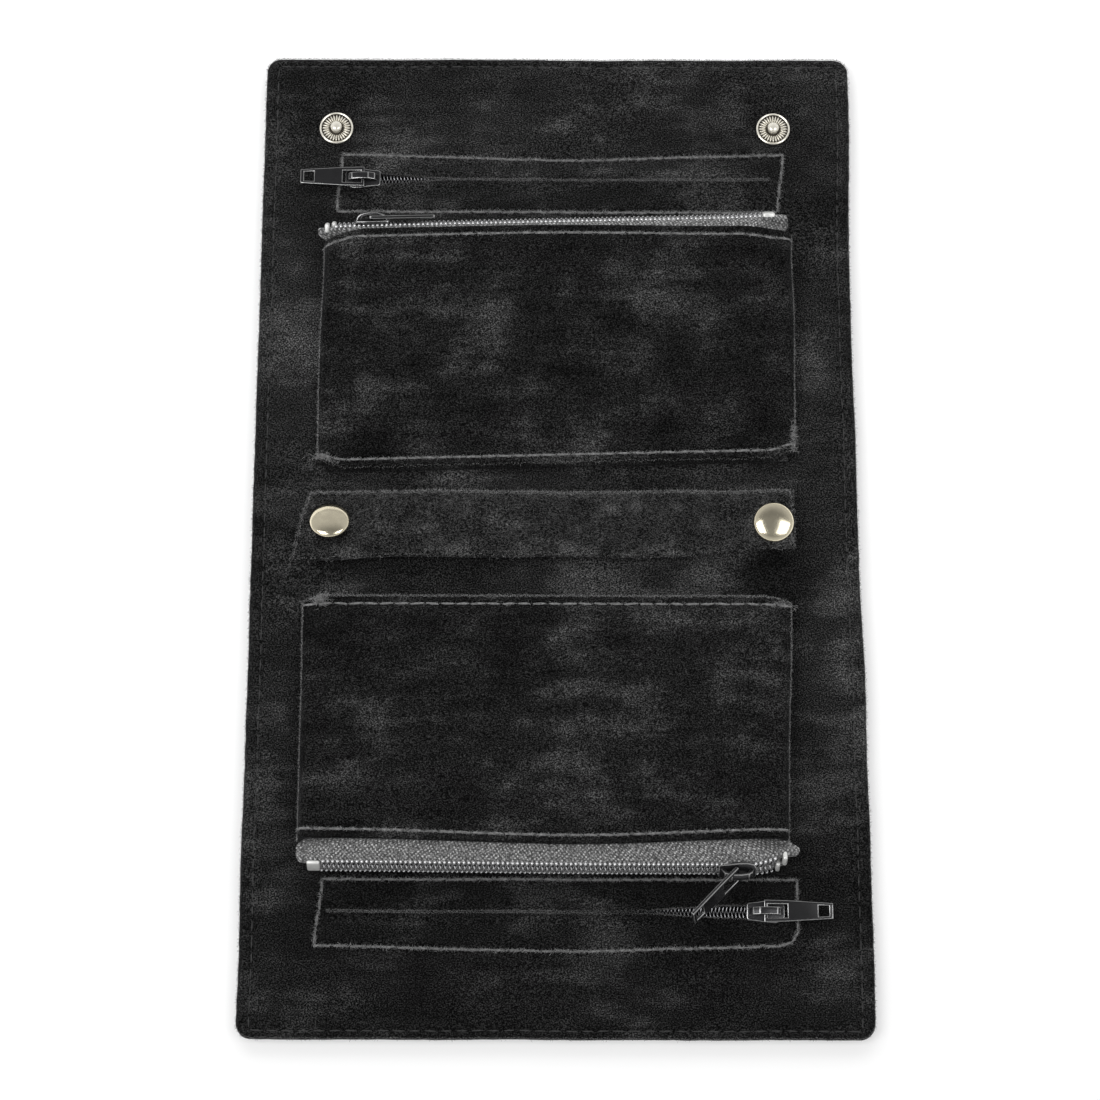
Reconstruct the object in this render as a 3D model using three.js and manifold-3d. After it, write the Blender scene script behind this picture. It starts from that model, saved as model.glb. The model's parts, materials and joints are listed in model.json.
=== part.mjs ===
// A velvet jewelry roll, lying open on its outer cover.
// Millimetres, +Z up. X runs across the panel, +Y towards the closing studs, and the table is z = 0.
// The padded panel is four sections with folds between them. The spine section carries the ring bar, and the
// sections on both sides of it carry a zipped pouch and a zipped slit pocket each.

import * as THREE from 'three';
import { mergeVertices } from 'three/addons/utils/BufferGeometryUtils.js';
import Module from 'manifold-3d';

const wasm = await Module();
wasm.setup();

// Gap between sewn pieces, and between a slider and what it runs past
const CLEARANCE = 0.3;

// Panel plies and folds
const PANEL_WIDTH = 165;
const CORNER_RADIUS = 4;
const COVER_THICKNESS = 1;
const LINING_THICKNESS = 1.2;
const FOLD_GAP = 0.6;

// Lengths along the panel, from the top edge down to the bottom edge
const TOP_FLAP_LENGTH = 27.5;
const UPPER_SLIT_TO_FOLD = 9.8;
const UPPER_ZIP_TO_SLIT = 14.8;
const UPPER_POUCH_DEPTH = 70.3;
const UPPER_SEAM_OFFSET = 3.1;
const SPINE_LENGTH = 28.5;
const LOWER_SEAM_OFFSET = 6;
const LOWER_POUCH_DEPTH = 72.2;
const LOWER_ZIP_TO_SLIT = 11;
const LOWER_SLIT_TO_EDGE = 32.8;

// Pouches
const POUCH_MARGIN = 17.5;
const POUCH_CLOTH = 1;
const UPPER_POUCH_TURN = THREE.MathUtils.degToRad(1.5);
const LOWER_POUCH_SHIFT = -2.5;
const ZIP_LEAN = THREE.MathUtils.degToRad(20);
const TAPE_SHOWN = 2.5;
const TAPE_TUCKED = 2.5;

// Zip tape and coil chain
const TAPE_THICKNESS = 0.6;
const TAPE_WIDTH = 6;
const CHAIN_WIDTH = 1.7;
const CHAIN_THICKNESS = 1.2;
const CHAIN_GAP = 1.4;
const STOP_LENGTH = 1.9;
const STOP_THICKNESS = 2;
const STOP_MARGIN = 2;

// Slider and pull tab
const SLIDER_LENGTH = 9.9;
const SLIDER_WIDTH = 6;
const SLIDER_TAIL_WIDTH = 4.6;
const SLIDER_PLATE = 0.7;
const POST_WIDTH = 0.8;
const POST_LENGTH = 3;
const BAIL_LENGTH = 4.8;
const BAIL_WIDTH = 1.6;
const BAIL_WIRE = 0.7;
const PULL_REACH = 17.4;
const PULL_EYE_WIDTH = 5.7;
const PULL_TIP_WIDTH = 3.6;
const PULL_THICKNESS = 0.9;
const PULL_WINDOW_LENGTH = 4.8;
const PULL_HOLE = 2.4;
const PULL_HOLE_FROM_TIP = 1;
const SLIT_SLIDER_FROM_END = 5.5;
const POUCH_SLIDER_FROM_EDGE = 15.5;
const RAISED_PULL_ANGLE = THREE.MathUtils.degToRad(47);

// Slit pockets
const SLIT_MARGIN = 22.5;
const SLIT_POCKET_WIDTH = 18;
const SLIT_CHAIN_MARGIN = 1.5;

// Snap studs, sockets and caps
const STUD_MARGIN = 20.95;
const STUD_CENTRE_X = -0.75;
const STUD_FROM_EDGE = 21.9;
const STUD_BASE_DIAMETER = 9.4;
const STUD_BASE_THICKNESS = 0.6;
const BALL_DIAMETER = 3.7;
const BALL_HEIGHT = 1.5;
const BALL_ROUNDING = 0.7;
const POST_DIAMETER = 3;
const WASHER_DIAMETER = 7;
const WASHER_THICKNESS = 0.5;
const SOCKET_FROM_EDGE = 58;
const SOCKET_BARREL_DIAMETER = 8;
const SOCKET_FLANGE_DIAMETER = 11;
const SOCKET_FLANGE_THICKNESS = 0.5;
const SOCKET_ROOF = 0.4;
const SOCKET_RECESS = 0.1;

// Ring bar
const BAR_MARGIN_LEFT = 14.5;
const BAR_MARGIN_RIGHT = 18.5;
const BAR_OFFSET = 0.75;
const BAR_WIDTH = 18.4;
const BAR_THICKNESS = 2.4;
const BAR_BEND_FROM_CAP = 8;
const CAP_MARGIN = 22.85;
const CAP_CENTRE_X = -1.35;
const CAP_DIAMETER = 10.9;
const CAP_DOME = 1.8;
const CAP_SOCKET_DIAMETER = 9;

// Steps in round shapes
const ROUND_STEPS = 28;
const DOME_STEPS = 6;
const HOLE_STEPS = 10;

// Heights and places worked out from the sizes above. The padding is as deep as a slit zip's slider needs.
const PLATE_INNER = CHAIN_THICKNESS / 2 + CLEARANCE;
const PLATE_OUTER = PLATE_INNER + SLIDER_PLATE;
const SLIT_CHAIN_Z = COVER_THICKNESS + CLEARANCE + PLATE_OUTER;
const PADDING_TOP = SLIT_CHAIN_Z + TAPE_THICKNESS / 2;
const PANEL_TOP = PADDING_TOP + LINING_THICKNESS;
const POUCH_WIDTH = PANEL_WIDTH - 2 * POUCH_MARGIN;
const SLIT_LENGTH = PANEL_WIDTH - 2 * SLIT_MARGIN;
const STUD_SPREAD = PANEL_WIDTH - 2 * STUD_MARGIN;
const CAP_SPREAD = PANEL_WIDTH - 2 * CAP_MARGIN;
const BAR_LEFT = -PANEL_WIDTH / 2 + BAR_MARGIN_LEFT;
const BAR_RIGHT = PANEL_WIDTH / 2 - BAR_MARGIN_RIGHT;
const UPPER_LENGTH = UPPER_SEAM_OFFSET + UPPER_POUCH_DEPTH + UPPER_ZIP_TO_SLIT + UPPER_SLIT_TO_FOLD;
const LOWER_LENGTH = LOWER_SEAM_OFFSET + LOWER_POUCH_DEPTH + LOWER_ZIP_TO_SLIT + LOWER_SLIT_TO_EDGE;
const PANEL_LENGTH = TOP_FLAP_LENGTH + UPPER_LENGTH + SPINE_LENGTH + LOWER_LENGTH;
const TOP_EDGE_Y = PANEL_LENGTH / 2;
const BOTTOM_EDGE_Y = -PANEL_LENGTH / 2;
const TOP_FOLD_Y = TOP_EDGE_Y - TOP_FLAP_LENGTH;
const UPPER_FOLD_Y = TOP_FOLD_Y - UPPER_LENGTH;
const LOWER_FOLD_Y = UPPER_FOLD_Y - SPINE_LENGTH;
const UPPER_SLIT_Y = TOP_FOLD_Y - UPPER_SLIT_TO_FOLD;
const LOWER_SLIT_Y = BOTTOM_EDGE_Y + LOWER_SLIT_TO_EDGE;
const UPPER_HINGE_Y = UPPER_FOLD_Y + UPPER_SEAM_OFFSET;
const LOWER_HINGE_Y = LOWER_FOLD_Y - LOWER_SEAM_OFFSET;
const STUD_Y = TOP_EDGE_Y - STUD_FROM_EDGE;
const SOCKET_Y = BOTTOM_EDGE_Y + SOCKET_FROM_EDGE;
const BAR_Y = (UPPER_FOLD_Y + LOWER_FOLD_Y) / 2 + BAR_OFFSET;
const STUD_XS = [STUD_CENTRE_X - STUD_SPREAD / 2, STUD_CENTRE_X + STUD_SPREAD / 2];
const CAP_XS = [CAP_CENTRE_X - CAP_SPREAD / 2, CAP_CENTRE_X + CAP_SPREAD / 2];
const SIDES = ['left', 'right'];
const CAP_SOCKET_HEIGHT = BALL_HEIGHT + SOCKET_ROOF;
const POST_HOLE_RADIUS = POST_DIAMETER / 2 + CLEARANCE;
const WASHER_HOLE_RADIUS = WASHER_DIAMETER / 2 + CLEARANCE;

// The tape's inner edge lies against the chain, and the slider's plates lie over and under both
const TAPE_INNER = CHAIN_GAP / 2 + CHAIN_WIDTH + CLEARANCE;
const TAPE_BEND = SLIDER_WIDTH / 2 + CLEARANCE;
const BAIL_WINDOW = PULL_THICKNESS + 2 * CLEARANCE;

const velvet = new THREE.MeshStandardMaterial({ color: 0x101011, roughness: 0.95, metalness: 0 });
const pouchVelvet = new THREE.MeshStandardMaterial({ color: 0x141415, roughness: 0.95, metalness: 0 });
const wadding = new THREE.MeshStandardMaterial({ color: 0xd9d6cf, roughness: 1, metalness: 0 });
const tapeWeave = new THREE.MeshStandardMaterial({ color: 0x4a4a4b, roughness: 0.85, metalness: 0 });
const coilNylon = new THREE.MeshStandardMaterial({ color: 0x2b2b2c, roughness: 0.4, metalness: 0 });
const blackEnamel = new THREE.MeshStandardMaterial({ color: 0x141414, roughness: 0.25, metalness: 0.6 });
const brightStop = new THREE.MeshStandardMaterial({ color: 0xd4d4d2, roughness: 0.3, metalness: 1 });
const paleNickel = new THREE.MeshStandardMaterial({ color: 0xcfc6b4, roughness: 0.2, metalness: 1 });

// Adds one named sub-part to a group.
function addPart(group, name, geometry, material) {
  const mesh = new THREE.Mesh(geometry, material);
  mesh.name = name;
  group.add(mesh);
}

// A closed solid from a geometry whose shared corners are merged.
function solidFrom(geometry) {
  const bare = geometry.clone();
  bare.deleteAttribute('normal');
  bare.deleteAttribute('uv');
  const merged = mergeVertices(bare);
  const vertProperties = new Float32Array(merged.attributes.position.array);
  const triVerts = new Uint32Array(merged.index.array);
  return new wasm.Manifold(new wasm.Mesh({ numProp: 3, vertProperties, triVerts }));
}

// Joins overlapping geometries into one closed geometry.
function join(...geometries) {
  const joined = geometries.map(solidFrom).reduce((sum, solid) => sum.add(solid));
  const mesh = joined.getMesh();
  const geometry = new THREE.BufferGeometry();
  geometry.setAttribute('position', new THREE.BufferAttribute(mesh.vertProperties, 3));
  geometry.setIndex(new THREE.BufferAttribute(mesh.triVerts, 1));
  geometry.computeVertexNormals();
  return geometry;
}

// A box from its low and high corners.
function boxBetween([x0, y0, z0], [x1, y1, z1]) {
  const box = new THREE.BoxGeometry(x1 - x0, y1 - y0, z1 - z0);
  return box.translate((x0 + x1) / 2, (y0 + y1) / 2, (z0 + z1) / 2);
}

// A flat outline in X and Y, raised from one height to another.
function plate(shape, bottom, top) {
  const settings = { depth: top - bottom, bevelEnabled: false, curveSegments: HOLE_STEPS };
  return new THREE.ExtrudeGeometry(shape, settings).translate(0, 0, bottom);
}

// A section in Y and Z, run along X.
function alongX(shape, start, end) {
  const geometry = new THREE.ExtrudeGeometry(shape, { depth: end - start, bevelEnabled: false });
  const turn = new THREE.Matrix4().makeBasis(
    new THREE.Vector3(0, 1, 0),
    new THREE.Vector3(0, 0, 1),
    new THREE.Vector3(1, 0, 0),
  );
  return geometry.applyMatrix4(turn).translate(start, 0, 0);
}

// A section in X and Z, centred on y = 0.
function alongY(shape, width) {
  const geometry = new THREE.ExtrudeGeometry(shape, { depth: width, bevelEnabled: false });
  const turn = new THREE.Matrix4().makeBasis(
    new THREE.Vector3(1, 0, 0),
    new THREE.Vector3(0, 0, 1),
    new THREE.Vector3(0, -1, 0),
  );
  return geometry.applyMatrix4(turn).translate(0, width / 2, 0);
}

// A round solid from a profile of [radius, height] points that starts and ends on the axis.
function turned(profile) {
  const points = profile.map(([radius, height]) => new THREE.Vector2(radius, height));
  return new THREE.LatheGeometry(points, ROUND_STEPS).rotateX(Math.PI / 2);
}

// A closed outline through corner points.
function outline(points) {
  return new THREE.Shape(points.map(([a, b]) => new THREE.Vector2(a, b)));
}

function rectangleHole(x0, y0, x1, y1) {
  return new THREE.Path([
    new THREE.Vector2(x0, y0),
    new THREE.Vector2(x1, y0),
    new THREE.Vector2(x1, y1),
    new THREE.Vector2(x0, y1),
  ]);
}

function roundHole(x, y, radius) {
  return new THREE.Path().absarc(x, y, radius, 0, 2 * Math.PI);
}

// A thin strip of even thickness that follows corner points, for tape seen end on.
function stripOutline(points, thickness) {
  const path = points.map(([a, b]) => new THREE.Vector2(a, b));
  const normals = path.slice(1).map((point, i) => {
    const along = point.clone().sub(path[i]).normalize();
    return new THREE.Vector2(-along.y, along.x);
  });
  const offset = (i, distance) => {
    const before = normals[Math.max(i - 1, 0)];
    const after = normals[Math.min(i, normals.length - 1)];
    const mitre = before.clone().add(after).normalize();
    return path[i].clone().addScaledVector(mitre, distance / mitre.dot(before));
  };
  const left = path.map((_, i) => offset(i, thickness / 2));
  const right = path.map((_, i) => offset(i, -thickness / 2)).reverse();
  return new THREE.Shape([...right, ...left]);
}

// One section of the panel between two heights along Y, with round corners on the ends that are free.
function sectionOutline(yLow, yHigh, roundLow, roundHigh) {
  const half = PANEL_WIDTH / 2;
  const low = roundLow ? CORNER_RADIUS : 0;
  const high = roundHigh ? CORNER_RADIUS : 0;
  const quarter = Math.PI / 2;
  const shape = new THREE.Shape();
  shape.moveTo(-half + low, yLow);
  shape.lineTo(half - low, yLow);
  if (roundLow) shape.absarc(half - low, yLow + low, low, -quarter, 0);
  shape.lineTo(half, yHigh - high);
  if (roundHigh) shape.absarc(half - high, yHigh - high, high, 0, quarter);
  shape.lineTo(-half + high, yHigh);
  if (roundHigh) shape.absarc(-half + high, yHigh - high, high, quarter, 2 * quarter);
  shape.lineTo(-half, yLow + low);
  if (roundLow) shape.absarc(-half + low, yLow + low, low, 2 * quarter, 3 * quarter);
  return shape;
}

// The three plies of one section, each with the holes it needs.
function addSection(group, name, ends, holes) {
  const plies = [
    ['cover', 0, COVER_THICKNESS, velvet],
    ['padding', COVER_THICKNESS, PADDING_TOP, wadding],
    ['lining', PADDING_TOP, PANEL_TOP, velvet],
  ];
  for (const [ply, bottom, top, material] of plies) {
    const shape = sectionOutline(ends.low, ends.high, ends.roundLow, ends.roundHigh);
    shape.holes.push(...(holes[ply] ?? []));
    addPart(group, `${ply}_${name}`, plate(shape, bottom, top), material);
  }
}

// The slit in the lining and the flat pocket behind it.
function slitHoles(y) {
  const half = SLIT_LENGTH / 2;
  const slot = TAPE_INNER;
  const pocket = SLIT_POCKET_WIDTH / 2;
  return {
    lining: [rectangleHole(-half, y - slot, half, y + slot)],
    padding: [rectangleHole(-half, y - pocket, half, y + pocket)],
  };
}

// Half of the coil chain, on one side of the zip's middle line.
function halfChain(side, start, end) {
  const inner = side * CHAIN_GAP / 2;
  const outer = side * (CHAIN_GAP / 2 + CHAIN_WIDTH);
  const half = CHAIN_THICKNESS / 2;
  return boxBetween(
    [start, Math.min(inner, outer), -half],
    [end, Math.max(inner, outer), half],
  );
}

// A slider centred on the chain: two plates, the post between the half chains and the bail for the pull tab.
function slider(plateBottom) {
  const half = SLIDER_LENGTH / 2;
  const wide = SLIDER_WIDTH / 2;
  const tail = SLIDER_TAIL_WIDTH / 2;
  const body = outline([
    [-half, -wide],
    [0, -wide],
    [half, -tail],
    [half, tail],
    [0, wide],
    [-half, wide],
  ]);
  const plateTop = plateBottom + SLIDER_PLATE;
  const overlap = SLIDER_PLATE / 2;
  const post = boxBetween(
    [-half, -POST_WIDTH / 2, -PLATE_OUTER + overlap],
    [-half + POST_LENGTH, POST_WIDTH / 2, plateBottom + overlap],
  );
  const bailHalf = BAIL_LENGTH / 2;
  const windowTop = plateTop + BAIL_WINDOW;
  const arch = outline([
    [-bailHalf, plateTop - overlap],
    [-bailHalf + BAIL_WIRE, plateTop - overlap],
    [-bailHalf + BAIL_WIRE, windowTop],
    [bailHalf - BAIL_WIRE, windowTop],
    [bailHalf - BAIL_WIRE, plateTop - overlap],
    [bailHalf, plateTop - overlap],
    [bailHalf, windowTop + BAIL_WIRE],
    [-bailHalf, windowTop + BAIL_WIRE],
  ]);
  return join(
    plate(body, plateBottom, plateTop),
    plate(body, -PLATE_OUTER, -PLATE_INNER),
    post,
    alongY(arch, BAIL_WIDTH),
  );
}

// The height of the pull tab's pin line over the chain's middle.
function pinHeight(plateBottom) {
  return plateBottom + SLIDER_PLATE + BAIL_WINDOW / 2;
}

// A flat tapered pull tab along +X from its pin line, with a window for the bail and a hole at its tip.
function pullTab() {
  const bar = PULL_THICKNESS / 2;
  const eye = PULL_EYE_WIDTH / 2;
  const tip = PULL_TIP_WIDTH / 2;
  const windowHalf = BAIL_WIDTH / 2 + 2 * CLEARANCE;
  const holeEnd = PULL_REACH - PULL_HOLE_FROM_TIP;
  const shape = outline([
    [-bar, -eye],
    [PULL_WINDOW_LENGTH, -eye],
    [PULL_REACH, -tip],
    [PULL_REACH, tip],
    [PULL_WINDOW_LENGTH, eye],
    [-bar, eye],
  ]);
  shape.holes.push(rectangleHole(bar, -windowHalf, PULL_WINDOW_LENGTH, windowHalf));
  shape.holes.push(rectangleHole(holeEnd - PULL_HOLE, -PULL_HOLE / 2, holeEnd, PULL_HOLE / 2));
  return plate(shape, -bar, bar);
}

// Places a slider and its pull tab on a zip. The pull turns about the pin line, across the zip.
function addSlider(group, name, x, plateBottom, pullAngle) {
  addPart(group, `${name}_slider`, slider(plateBottom).translate(x, 0, 0), blackEnamel);
  const pull = new THREE.Group();
  pull.position.set(x, 0, pinHeight(plateBottom));
  pull.rotation.y = pullAngle;
  addPart(pull, `${name}_pull`, pullTab(), blackEnamel);
  group.add(pull);
}

// A slit pocket's zip, flat in the padding under its slit, with the pull tab pointing out at the closed end.
function addSlitZip(group, name) {
  const end = SLIT_LENGTH / 2 - SLIT_CHAIN_MARGIN;
  const half = TAPE_THICKNESS / 2;
  const tapeOuter = TAPE_INNER + TAPE_WIDTH;
  const innerTape = boxBetween([-end, -tapeOuter, -half], [end, -TAPE_INNER, half]);
  const outerTape = boxBetween([-end, TAPE_INNER, -half], [end, tapeOuter, half]);
  addPart(group, `${name}_tape_inner`, innerTape, tapeWeave);
  addPart(group, `${name}_tape_outer`, outerTape, tapeWeave);
  addPart(group, `${name}_chain_inner`, halfChain(-1, -end, end), coilNylon);
  addPart(group, `${name}_chain_outer`, halfChain(1, -end, end), coilNylon);
  const plateBottom = PANEL_TOP + CLEARANCE - SLIT_CHAIN_Z;
  addSlider(group, name, -SLIT_LENGTH / 2 + SLIT_SLIDER_FROM_END, plateBottom, Math.PI);
}

// The zip along a pouch's free edge: its middle line leans out, and the tapes bend round to the pouch.
const lean = { out: Math.cos(ZIP_LEAN), up: Math.sin(ZIP_LEAN) };
const ZIP_RISE = 2 * CLEARANCE + TAPE_THICKNESS + (SLIDER_WIDTH / 2) * lean.out + PLATE_OUTER * lean.up;

// A place in the pouch's section, from its distance down the zip's face from the middle line.
function acrossZip(depth, distance) {
  return [depth + distance * lean.up, ZIP_RISE - distance * lean.out];
}

// The pouch's front cloth: a sloping panel with its two sides turned down to the back.
function pouchFront(depth) {
  const half = POUCH_WIDTH / 2;
  const [bendOut, bendUp] = acrossZip(depth, -TAPE_BEND);
  const seam = [CLEARANCE, 2 * CLEARANCE + POUCH_CLOTH];
  const lip = [bendOut - TAPE_SHOWN, bendUp + TAPE_THICKNESS / 2 + CLEARANCE];
  const panel = outline([seam, lip, [lip[0], lip[1] + POUCH_CLOTH], [seam[0], seam[1] + POUCH_CLOTH]]);
  const overlap = POUCH_CLOTH / 2;
  const side = outline([seam, [lip[0], seam[1]], [lip[0], lip[1] + overlap], [seam[0], seam[1] + overlap]]);
  return join(
    alongX(panel, -half, half),
    alongX(side, -half, -half + POUCH_CLOTH),
    alongX(side, half - POUCH_CLOTH, half),
  );
}

// A pouch in its own frame: its seam is the line y = 0 on the lining, and it runs along +Y to its zip.
function addPouch(group, name, depth, pullAngle) {
  const half = POUCH_WIDTH / 2;
  const tapeEnd = half - POUCH_CLOTH - CLEARANCE;
  const [frontOut, frontUp] = acrossZip(depth, -TAPE_BEND);
  const slope = (frontUp - POUCH_CLOTH) / depth;
  const tuck = TAPE_SHOWN + TAPE_TUCKED;
  const frontTape = [
    acrossZip(depth, -TAPE_INNER),
    [frontOut, frontUp],
    [frontOut - tuck, frontUp - tuck * slope],
  ];
  const [backOut] = acrossZip(depth, TAPE_BEND);
  const backLevel = CLEARANCE + TAPE_THICKNESS / 2;
  const backEnd = depth - PLATE_OUTER - TAPE_TUCKED;
  const backTape = [
    acrossZip(depth, TAPE_INNER),
    acrossZip(depth, TAPE_BEND),
    [backOut - TAPE_THICKNESS / 2, backLevel],
    [backEnd, backLevel],
  ];
  addPart(group, `${name}_front`, pouchFront(depth), pouchVelvet);
  const back = boxBetween(
    [-half, CLEARANCE, CLEARANCE],
    [half, backEnd - CLEARANCE, CLEARANCE + POUCH_CLOTH],
  );
  addPart(group, `${name}_back`, back, pouchVelvet);
  const tapes = [['front', frontTape], ['back', backTape]];
  for (const [face, path] of tapes) {
    const strip = alongX(stripOutline(path, TAPE_THICKNESS), -tapeEnd, tapeEnd);
    addPart(group, `${name}_tape_${face}`, strip, tapeWeave);
  }

  const zip = new THREE.Group();
  zip.position.set(0, depth, ZIP_RISE);
  zip.rotation.x = ZIP_LEAN - Math.PI / 2;
  const stopEnd = tapeEnd - STOP_MARGIN;
  const chainEnd = stopEnd - STOP_LENGTH - CLEARANCE;
  const stopHalf = STOP_THICKNESS / 2;
  const stopWidth = CHAIN_GAP / 2 + CHAIN_WIDTH;
  addPart(zip, `${name}_chain_front`, halfChain(-1, -chainEnd, chainEnd), coilNylon);
  addPart(zip, `${name}_chain_back`, halfChain(1, -chainEnd, chainEnd), coilNylon);
  const bottomStop = boxBetween(
    [chainEnd + CLEARANCE, -stopWidth, -stopHalf],
    [stopEnd, stopWidth, stopHalf],
  );
  addPart(zip, `${name}_bottom_stop`, bottomStop, brightStop);
  const topStopFront = boxBetween(
    [-stopEnd, -stopWidth, -stopHalf],
    [-chainEnd - CLEARANCE, -CHAIN_GAP / 2, stopHalf],
  );
  addPart(zip, `${name}_top_stop_front`, topStopFront, brightStop);
  const topStopBack = boxBetween(
    [-stopEnd, CHAIN_GAP / 2, -stopHalf],
    [-chainEnd - CLEARANCE, stopWidth, stopHalf],
  );
  addPart(zip, `${name}_top_stop_back`, topStopBack, brightStop);
  addSlider(zip, name, -half + POUCH_SLIDER_FROM_EDGE, PLATE_INNER, pullAngle);
  group.add(zip);
}

// A snap stud on the lining: its base, the ball that snaps, and the post riveted behind the lining.
function stud(rivet) {
  const ball = BALL_DIAMETER / 2;
  const post = POST_DIAMETER / 2;
  const ballTop = STUD_BASE_THICKNESS + BALL_HEIGHT;
  const tailEnd = -LINING_THICKNESS - WASHER_THICKNESS;
  const tail = rivet
    ? [[post, -LINING_THICKNESS], [WASHER_DIAMETER / 2, -LINING_THICKNESS], [WASHER_DIAMETER / 2, tailEnd]]
    : [[post, tailEnd]];
  return turned([
    [0, tailEnd],
    ...tail.reverse(),
    [post, 0],
    [STUD_BASE_DIAMETER / 2, 0],
    [STUD_BASE_DIAMETER / 2, STUD_BASE_THICKNESS],
    [ball, STUD_BASE_THICKNESS],
    [ball, ballTop - BALL_ROUNDING],
    [ball - BALL_ROUNDING, ballTop],
    [0, ballTop],
  ]);
}

// The ring a stud's post is riveted over, behind the lining.
function washer() {
  const outer = WASHER_DIAMETER / 2;
  const inner = POST_HOLE_RADIUS;
  const bottom = -LINING_THICKNESS - WASHER_THICKNESS;
  const ring = new THREE.Shape().absarc(0, 0, outer, 0, 2 * Math.PI);
  ring.holes.push(roundHole(0, 0, inner));
  return plate(ring, bottom, -LINING_THICKNESS);
}

// A snap socket set in the outer cover, open downwards and flush with the cover.
function coverSocket() {
  const barrel = SOCKET_BARREL_DIAMETER / 2;
  const flange = SOCKET_FLANGE_DIAMETER / 2;
  const bore = BALL_DIAMETER / 2 + CLEARANCE;
  const boreTop = SOCKET_RECESS + BALL_HEIGHT;
  const flangeTop = COVER_THICKNESS + SOCKET_FLANGE_THICKNESS;
  return turned([
    [0, boreTop],
    [bore, boreTop],
    [bore, SOCKET_RECESS],
    [barrel, SOCKET_RECESS],
    [barrel, COVER_THICKNESS],
    [flange, COVER_THICKNESS],
    [flange, flangeTop],
    [barrel, flangeTop],
    [barrel, boreTop + SOCKET_ROOF],
    [0, boreTop + SOCKET_ROOF],
  ]);
}

// A ring bar snap: the domed cap over the strap, its shank and the socket under the strap.
// Its frame's z = 0 is the underside of the strap.
function barCap() {
  const dome = CAP_DIAMETER / 2;
  const shank = POST_DIAMETER / 2;
  const socket = CAP_SOCKET_DIAMETER / 2;
  const bore = BALL_DIAMETER / 2 + CLEARANCE;
  const rim = BAR_THICKNESS;
  const crown = Array.from({ length: DOME_STEPS }, (_, i) => {
    const angle = (i / DOME_STEPS) * (Math.PI / 2);
    return [dome * Math.cos(angle), rim + CAP_DOME * Math.sin(angle)];
  });
  return turned([
    [0, -SOCKET_ROOF],
    [bore, -SOCKET_ROOF],
    [bore, -CAP_SOCKET_HEIGHT],
    [socket, -CAP_SOCKET_HEIGHT],
    [socket, 0],
    [shank, 0],
    [shank, rim],
    ...crown,
    [0, rim + CAP_DOME],
  ]);
}

// One length of the ring bar's strap, with the hole for its cap.
function barLength(start, end, capX) {
  const half = BAR_WIDTH / 2;
  const shape = outline([[start, -half], [end, -half], [end, half], [start, half]]);
  shape.holes.push(roundHole(capX, 0, POST_HOLE_RADIUS));
  return plate(shape, 0, BAR_THICKNESS);
}

// The ring bar, snapped on its two studs. It bends beside its left cap.
function addRingBar(group) {
  const bar = new THREE.Group();
  bar.position.set(0, BAR_Y, PANEL_TOP + STUD_BASE_THICKNESS + CLEARANCE + CAP_SOCKET_HEIGHT);
  const [leftX, rightX] = CAP_XS;
  const bend = leftX + BAR_BEND_FROM_CAP;
  addPart(bar, 'ring_bar_anchor', barLength(BAR_LEFT, bend - FOLD_GAP / 2, leftX), velvet);
  addPart(bar, 'ring_bar_strap', barLength(bend + FOLD_GAP / 2, BAR_RIGHT, rightX), velvet);
  SIDES.forEach((side, i) => {
    addPart(bar, `ring_bar_cap_${side}`, barCap().translate(CAP_XS[i], 0, 0), paleNickel);
  });
  group.add(bar);
}

function addPanel(group) {
  const gap = FOLD_GAP / 2;
  const postHoles = (xs, y, radius) => xs.map((x) => roundHole(x, y, radius));
  addSection(group, 'top_flap', { low: TOP_FOLD_Y + gap, high: TOP_EDGE_Y, roundHigh: true }, {
    lining: postHoles(STUD_XS, STUD_Y, POST_HOLE_RADIUS),
    padding: postHoles(STUD_XS, STUD_Y, WASHER_HOLE_RADIUS),
  });
  addSection(group, 'upper', { low: UPPER_FOLD_Y + gap, high: TOP_FOLD_Y - gap }, slitHoles(UPPER_SLIT_Y));
  addSection(group, 'spine', { low: LOWER_FOLD_Y + gap, high: UPPER_FOLD_Y - gap }, {
    lining: postHoles(CAP_XS, BAR_Y, POST_HOLE_RADIUS),
    padding: postHoles(CAP_XS, BAR_Y, WASHER_HOLE_RADIUS),
  });
  const slit = slitHoles(LOWER_SLIT_Y);
  addSection(group, 'lower', { low: BOTTOM_EDGE_Y, high: LOWER_FOLD_Y - gap, roundLow: true }, {
    lining: slit.lining,
    padding: [
      ...slit.padding,
      ...postHoles(STUD_XS, SOCKET_Y, SOCKET_FLANGE_DIAMETER / 2 + CLEARANCE),
    ],
    cover: postHoles(STUD_XS, SOCKET_Y, SOCKET_BARREL_DIAMETER / 2 + CLEARANCE),
  });
}

function addSnaps(group) {
  SIDES.forEach((side, i) => {
    addPart(group, `closing_stud_${side}`, stud(false).translate(STUD_XS[i], STUD_Y, PANEL_TOP), paleNickel);
    addPart(group, `closing_washer_${side}`, washer().translate(STUD_XS[i], STUD_Y, PANEL_TOP), paleNickel);
    addPart(group, `closing_socket_${side}`, coverSocket().translate(STUD_XS[i], SOCKET_Y, 0), paleNickel);
    addPart(group, `ring_bar_stud_${side}`, stud(true).translate(CAP_XS[i], BAR_Y, PANEL_TOP), paleNickel);
  });
}

// The upper pouch is sewn on a little askew. The lower half's pouch and slit pocket are turned half way
// round, so both zips close away from each other.
function placedGroup(parent, x, y, z, turn) {
  const group = new THREE.Group();
  group.position.set(x, y, z);
  group.rotation.z = turn;
  parent.add(group);
  return group;
}

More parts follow.
